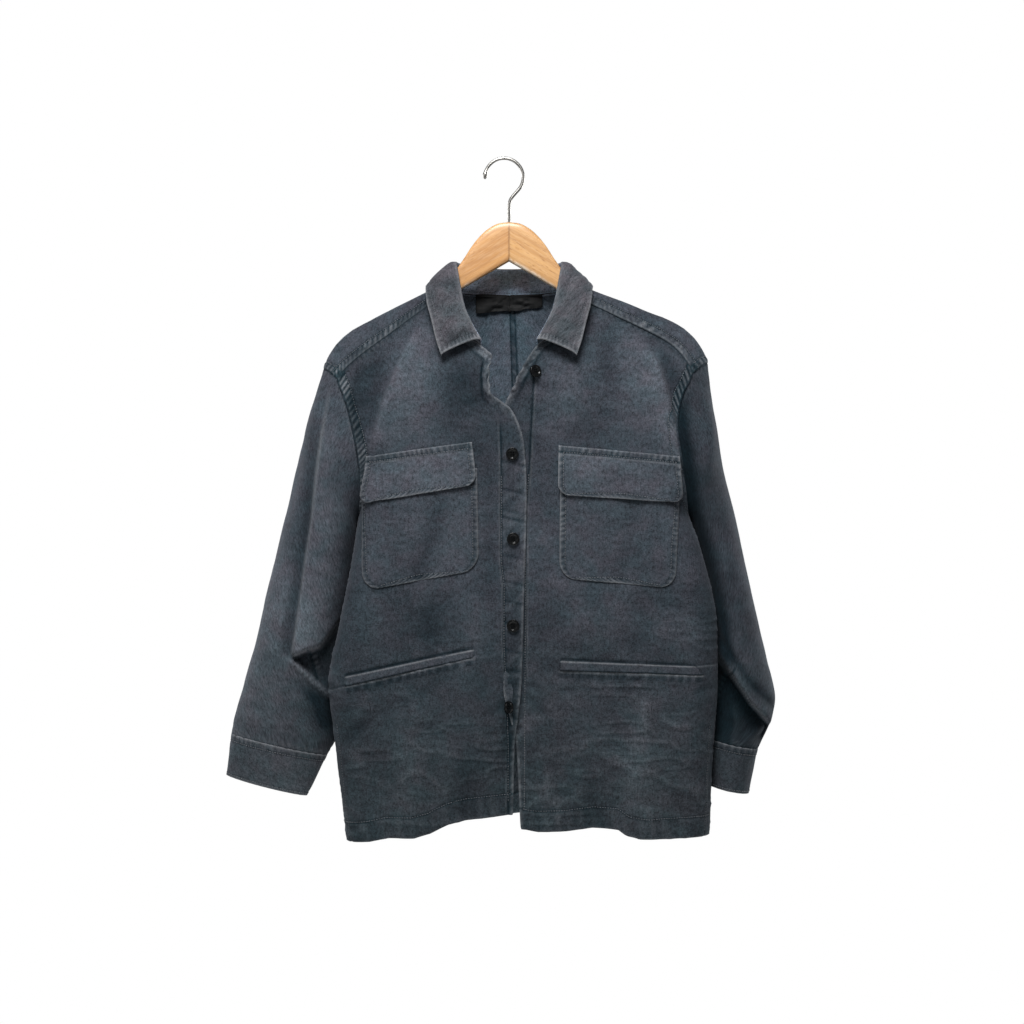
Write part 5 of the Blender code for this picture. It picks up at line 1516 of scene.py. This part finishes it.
def makeStitches(name, lines, s):
    ring = ((1, 0), (0, 1), (-1, 0), (0, -1))
    middle = [(along, across, up) for along in (-0.3, 0.3) for across, up in ring]
    grain = np.array([(-0.5, 0, -0.6)] + middle + [(0.5, 0, -0.6)])
    grain = grain * np.array([s["length"], s["width"], s["height"]])
    faces = [(0, 1 + (k + 1) % 4, 1 + k) for k in range(4)]
    faces += [(1 + k, 1 + (k + 1) % 4, 5 + (k + 1) % 4, 5 + k) for k in range(4)]
    faces += [(9, 5 + k, 5 + (k + 1) % 4) for k in range(4)]
    allPoints, allFaces, count = [], [], 0
    rng = np.random.default_rng(len(name))
    for points, normals in lines:
        length = lengthAlong(points)
        at = np.arange(s["pitch"] / 2, length[-1], s["pitch"])
        place, up = pointsAt(at, length, points), pointsAt(at, length, normals)
        way = unitOf(pointsAt(at + s["ahead"], length, points) - place)
        up = unitOf(up - way * (up * way).sum(axis=1, keepdims=True))
        side = np.cross(up, way)
        for p, t, n, b in zip(place, way, up, side):
            lean = rng.uniform(-s["lean"], s["lean"])
            t, b = t + b * lean, b - t * lean
            allPoints.append(p - n * s["sunk"] + grain[:, :1] * t + grain[:, 1:2] * b + grain[:, 2:] * n)
            allFaces.extend([tuple(k + count for k in face) for face in faces])
            count += len(grain)
    mesh = bpy.data.meshes.new(name)
    mesh.from_pydata(((np.concatenate(allPoints) + stemShift) * mm).tolist(), [], allFaces)
    mesh.update()
    mesh.shade_smooth()
    piece = bpy.data.objects.new(name, mesh)
    bpy.context.scene.collection.objects.link(piece)
    mesh.materials.append(charcoalThread)
    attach(piece, "root")
    print(name, len(allFaces) // len(faces), "stitches")


for group, lines in stitchLines.items():
    makeStitches("stitching_" + group, lines, threadLooks)

# Buttons: turned once with a rim, a dish and four holes, then copied to each place
buttonLooks = {
    "radius": 7.5, "height": 3.0, "hole": 0.85, "holeOff": 1.75, "softEdge": 0.35,
    # how far in and up each step of the face lies: rounded edge, rim, dish and floor
    "steps": ((0.5, 0.25), (1.7, 0.0), (0.9, -0.9), (1.6, -0.15)),
    "seat": 1.0, "tiltLift": 4.2, "around": 48, "holeAround": 14, "edgeCuts": 3,
    "edgeAngle": 25, "sharpAngle": 38,
    # side, x, z, then the turn of its face to the viewer's left and upwards, in degrees
    "places": (("left", 31, -257, -34, 8), ("right", 4, -355, 4, -3), ("right", 5, -456, -3, 4),
               ("right", 5, -559, 5, -2), ("right", 3, -656, 52, 0)),
}


def makeButtonMaster(s):
    bpy.ops.object.select_all(action="DESELECT")
    radius, height = s["radius"] * mm, s["height"] * mm
    bpy.ops.mesh.primitive_cylinder_add(vertices=s["around"], radius=radius, depth=height,
                                        end_fill_type="NGON")
    button = bpy.context.object
    bpy.ops.object.mode_set(mode="EDIT")
    bpy.ops.mesh.select_mode(type="FACE")
    bpy.ops.mesh.select_all(action="DESELECT")
    bpy.ops.object.mode_set(mode="OBJECT")
    for face in button.data.polygons:
        face.select = face.normal.z > 0.9
    bpy.ops.object.mode_set(mode="EDIT")
    for inward, upward in s["steps"]:
        bpy.ops.mesh.inset(thickness=inward * mm, depth=upward * mm)
    bpy.ops.mesh.select_all(action="DESELECT")
    bpy.ops.object.mode_set(mode="OBJECT")
    edge = button.modifiers.new("softEdge", "BEVEL")
    edge.width = s["softEdge"] * mm
    edge.segments = s["edgeCuts"]
    edge.limit_method = "ANGLE"
    edge.angle_limit = math.radians(s["edgeAngle"])
    bpy.ops.object.modifier_apply(modifier="softEdge")
    for k in range(4):
        turn = math.pi / 4 + k * math.pi / 2
        spot = (s["holeOff"] * mm * math.cos(turn), s["holeOff"] * mm * math.sin(turn), 0)
        bpy.ops.object.select_all(action="DESELECT")
        bpy.ops.mesh.primitive_cylinder_add(vertices=s["holeAround"], radius=s["hole"] * mm, depth=3 * height,
                                            location=spot)
        drill = bpy.context.object
        bpy.context.view_layer.objects.active = button
        cut = button.modifiers.new("hole", "BOOLEAN")
        cut.operation = "DIFFERENCE"
        cut.object = drill
        bpy.ops.object.modifier_apply(modifier="hole")
        bpy.data.objects.remove(drill)
    return button


def makeButtons(s):
    master = makeButtonMaster(s)
    for number, (side, x, z, left, up) in enumerate(s["places"], 1):
        form = partial(frontForm, side)
        u, v = placeOn(form, np.array(float(x)), np.array(float(z)), frontMiddle)
        lift = s["seat"] + s["height"] / 2 + s["tiltLift"] * abs(math.sin(math.radians(left)))
        seat = (liftedFrom(form, u, v, np.array(lift), -1) + stemShift) * mm
        bpy.ops.object.select_all(action="DESELECT")
        button = master.copy()
        button.data = master.data.copy()
        bpy.context.scene.collection.objects.link(button)
        button.name = button.data.name = "resinButton_" + str(number)
        button.location = seat
        button.rotation_euler = (math.radians(90 - up), 0, math.radians(-left))
        button.data.materials.clear()
        button.data.materials.append(blackResin)
        button.select_set(True)
        bpy.context.view_layer.objects.active = button
        bpy.ops.object.transform_apply(location=True, rotation=True, scale=True)
        bpy.ops.object.shade_smooth_by_angle(angle=math.radians(s["sharpAngle"]))
        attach(button, "root")
        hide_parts("button_" + str(number))
    bpy.data.objects.remove(master)


makeButtons(buttonLooks)
print("buttons ready")


barSharpAngle = math.radians(45)


# Solid through closed rings, such as the hanger's wood and the hook's wire
def makeBar(name, rings, marks, material):
    piece, mesh, _, _ = makeGrid(name, rings, marks)
    mesh.update()
    bpy.ops.object.mode_set(mode="EDIT")
    bpy.ops.mesh.select_all(action="SELECT")
    bpy.ops.mesh.remove_doubles(threshold=mergeReach)
    bpy.ops.mesh.select_all(action="SELECT")
    bpy.ops.mesh.fill_holes(sides=0)
    bpy.ops.mesh.select_all(action="SELECT")
    bpy.ops.mesh.normals_make_consistent(inside=False)
    bpy.ops.object.mode_set(mode="OBJECT")
    bpy.ops.object.shade_smooth_by_angle(angle=barSharpAngle)
    mesh.materials.append(material)
    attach(piece, "root")
    return piece


HangerRow = namedtuple("HangerRow", "x top low halfThick")
hangerLooks = {
    "rows": (
        HangerRow(0, -72, -119.5, 7.0), HangerRow(12, -73.5, -126.5, 7.0), HangerRow(25, -80, -134, 7.0),
        HangerRow(37, -91, -141, 6.8), HangerRow(46, -102.5, -146.5, 6.6), HangerRow(54, -115, -151, 6.4),
        HangerRow(64, -129.5, -158, 6.2), HangerRow(76, -148, -167, 5.5),
    ),
    "armStart": 0.02, "armReach": 0.7, "armDepth": (18.0, 13.0), "armHalfThick": 5.0, "armDrop": 3.7,
    "armSections": 7, "stations": 90, "around": 40, "square": 0.42, "roundedEnd": 0.025, "endSize": 0.35,
}


def makeHangerHalf(side, s):
    sign = sides[side]
    ridge = backs["ridgeRow"] / (len(backs["rows"]) - 1)
    sections = [(sign * row.x, 0.0, row.top, row.low, row.halfThick) for row in s["rows"]]
    shares = np.linspace(s["armStart"], s["armReach"], s["armSections"])
    for share, (x, y, z) in zip(shares, backForm(side, shares, ridge)):
        depth = s["armDepth"][0] + (s["armDepth"][1] - s["armDepth"][0]) * share
        sections.append((x, y, z - s["armDrop"], z - s["armDrop"] - depth, s["armHalfThick"]))
    t = np.linspace(0, 1, s["stations"] + 1)
    section = smoothRows(np.array(sections), t)
    angle = np.linspace(0, 2 * math.pi, s["around"] + 1)
    c, d = np.cos(angle), np.sin(angle)
    y = np.sign(c) * np.abs(c) ** s["square"]
    z = np.sign(d) * np.abs(d) ** s["square"]
    middle, half = (section[:, 2] + section[:, 3]) / 2, (section[:, 2] - section[:, 3]) / 2
    soft = np.sqrt(np.minimum(1.0, (1 - t) / s["roundedEnd"]))[:, None]
    soft = s["endSize"] + (1 - s["endSize"]) * soft
    rings = np.stack([section[:, :1] + 0 * y, section[:, 1:2] + section[:, 4:5] * y * soft,
                      middle[:, None] + half[:, None] * z * soft], axis=-1)
    worn = bell((z + 0.96) / 0.1)[None, :] * (y < 0.2) * (0.6 + 0.4 * waver(t * 60, 401)[:, None])
    if side == "right":
        worn = worn * ease((t - 0.2) / 0.2)[:, None]
    joint = bell(section[:, :1] / 0.5) + 0 * worn  # the mitre between the two halves
    piece = makeBar("hangerWood_" + side, rings, {"worn": worn, "joint": joint}, beech[side])
    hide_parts("hanger_" + side)
    return piece


hangerPieces = {side: makeHangerHalf(side, hangerLooks) for side in sides}

hookLooks = {
    "wire": 4.0, "radius": 23.2, "rise": 4.0, "tipAngle": 185, "leaveAngle": -45, "bend": 14.0, "stem": 14.0,
    "sunk": 1.0, "around": 20, "tipLength": 3.0, "tipSize": 0.45, "tipSwell": 0.45, "swellAt": 5.0,
    "swellReach": 4.0, "arcStep": 3, "bendPoints": 25, "stemPoints": 5,
}


def makeHook(s):
    centre = np.array([-stemShift[0], 0.0, s["rise"] - s["radius"] + s["wire"] / 2])
    foot = np.array([0.0, 0.0, hangerLooks["rows"][0].top - s["sunk"]])
    turn = np.radians(np.arange(s["tipAngle"], s["leaveAngle"] - 1, -s["arcStep"]))
    arc = centre + np.stack([np.cos(turn), 0 * turn, np.sin(turn)], axis=1) * s["radius"]
    leave = arc[-1]
    away = leave + unitOf(leave - arc[-2]) * s["bend"]
    neck = foot + np.array([0, 0, s["stem"] + s["sunk"]])
    above = neck + np.array([0, 0, s["bend"]])
    t = np.linspace(0, 1, s["bendPoints"])[1:, None]
    bend = leave * (1 - t) ** 3 + away * 3 * t * (1 - t) ** 2 + above * 3 * t * t * (1 - t) + neck * t ** 3
    stem = neck + (foot - neck) * np.linspace(0, 1, s["stemPoints"] + 1)[1:, None]
    path = np.concatenate([arc, bend, stem])
    across = np.array([0.0, 1.0, 0.0])
    out = np.cross(unitOf(np.gradient(path, axis=0)), across)
    length = lengthAlong(path)
    radius = s["tipSize"] + (1 - s["tipSize"]) * np.sqrt(np.clip(length / s["tipLength"], 0, 1))
    radius *= 1 + s["tipSwell"] * bell((length - s["swellAt"]) / s["swellReach"])  # a thicker, blunt end
    radius *= s["wire"] / 2
    angle = np.linspace(0, 2 * math.pi, s["around"] + 1)
    rings = (path[:, None] + radius[:, None, None] * (np.cos(angle)[None, :, None] * across
                                                      + np.sin(angle)[None, :, None] * out[:, None]))
    piece = makeBar("hangerHookWire", rings, {}, brightChrome)
    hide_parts("hanger_hook")


makeHook(hookLooks)
print("hanger ready")
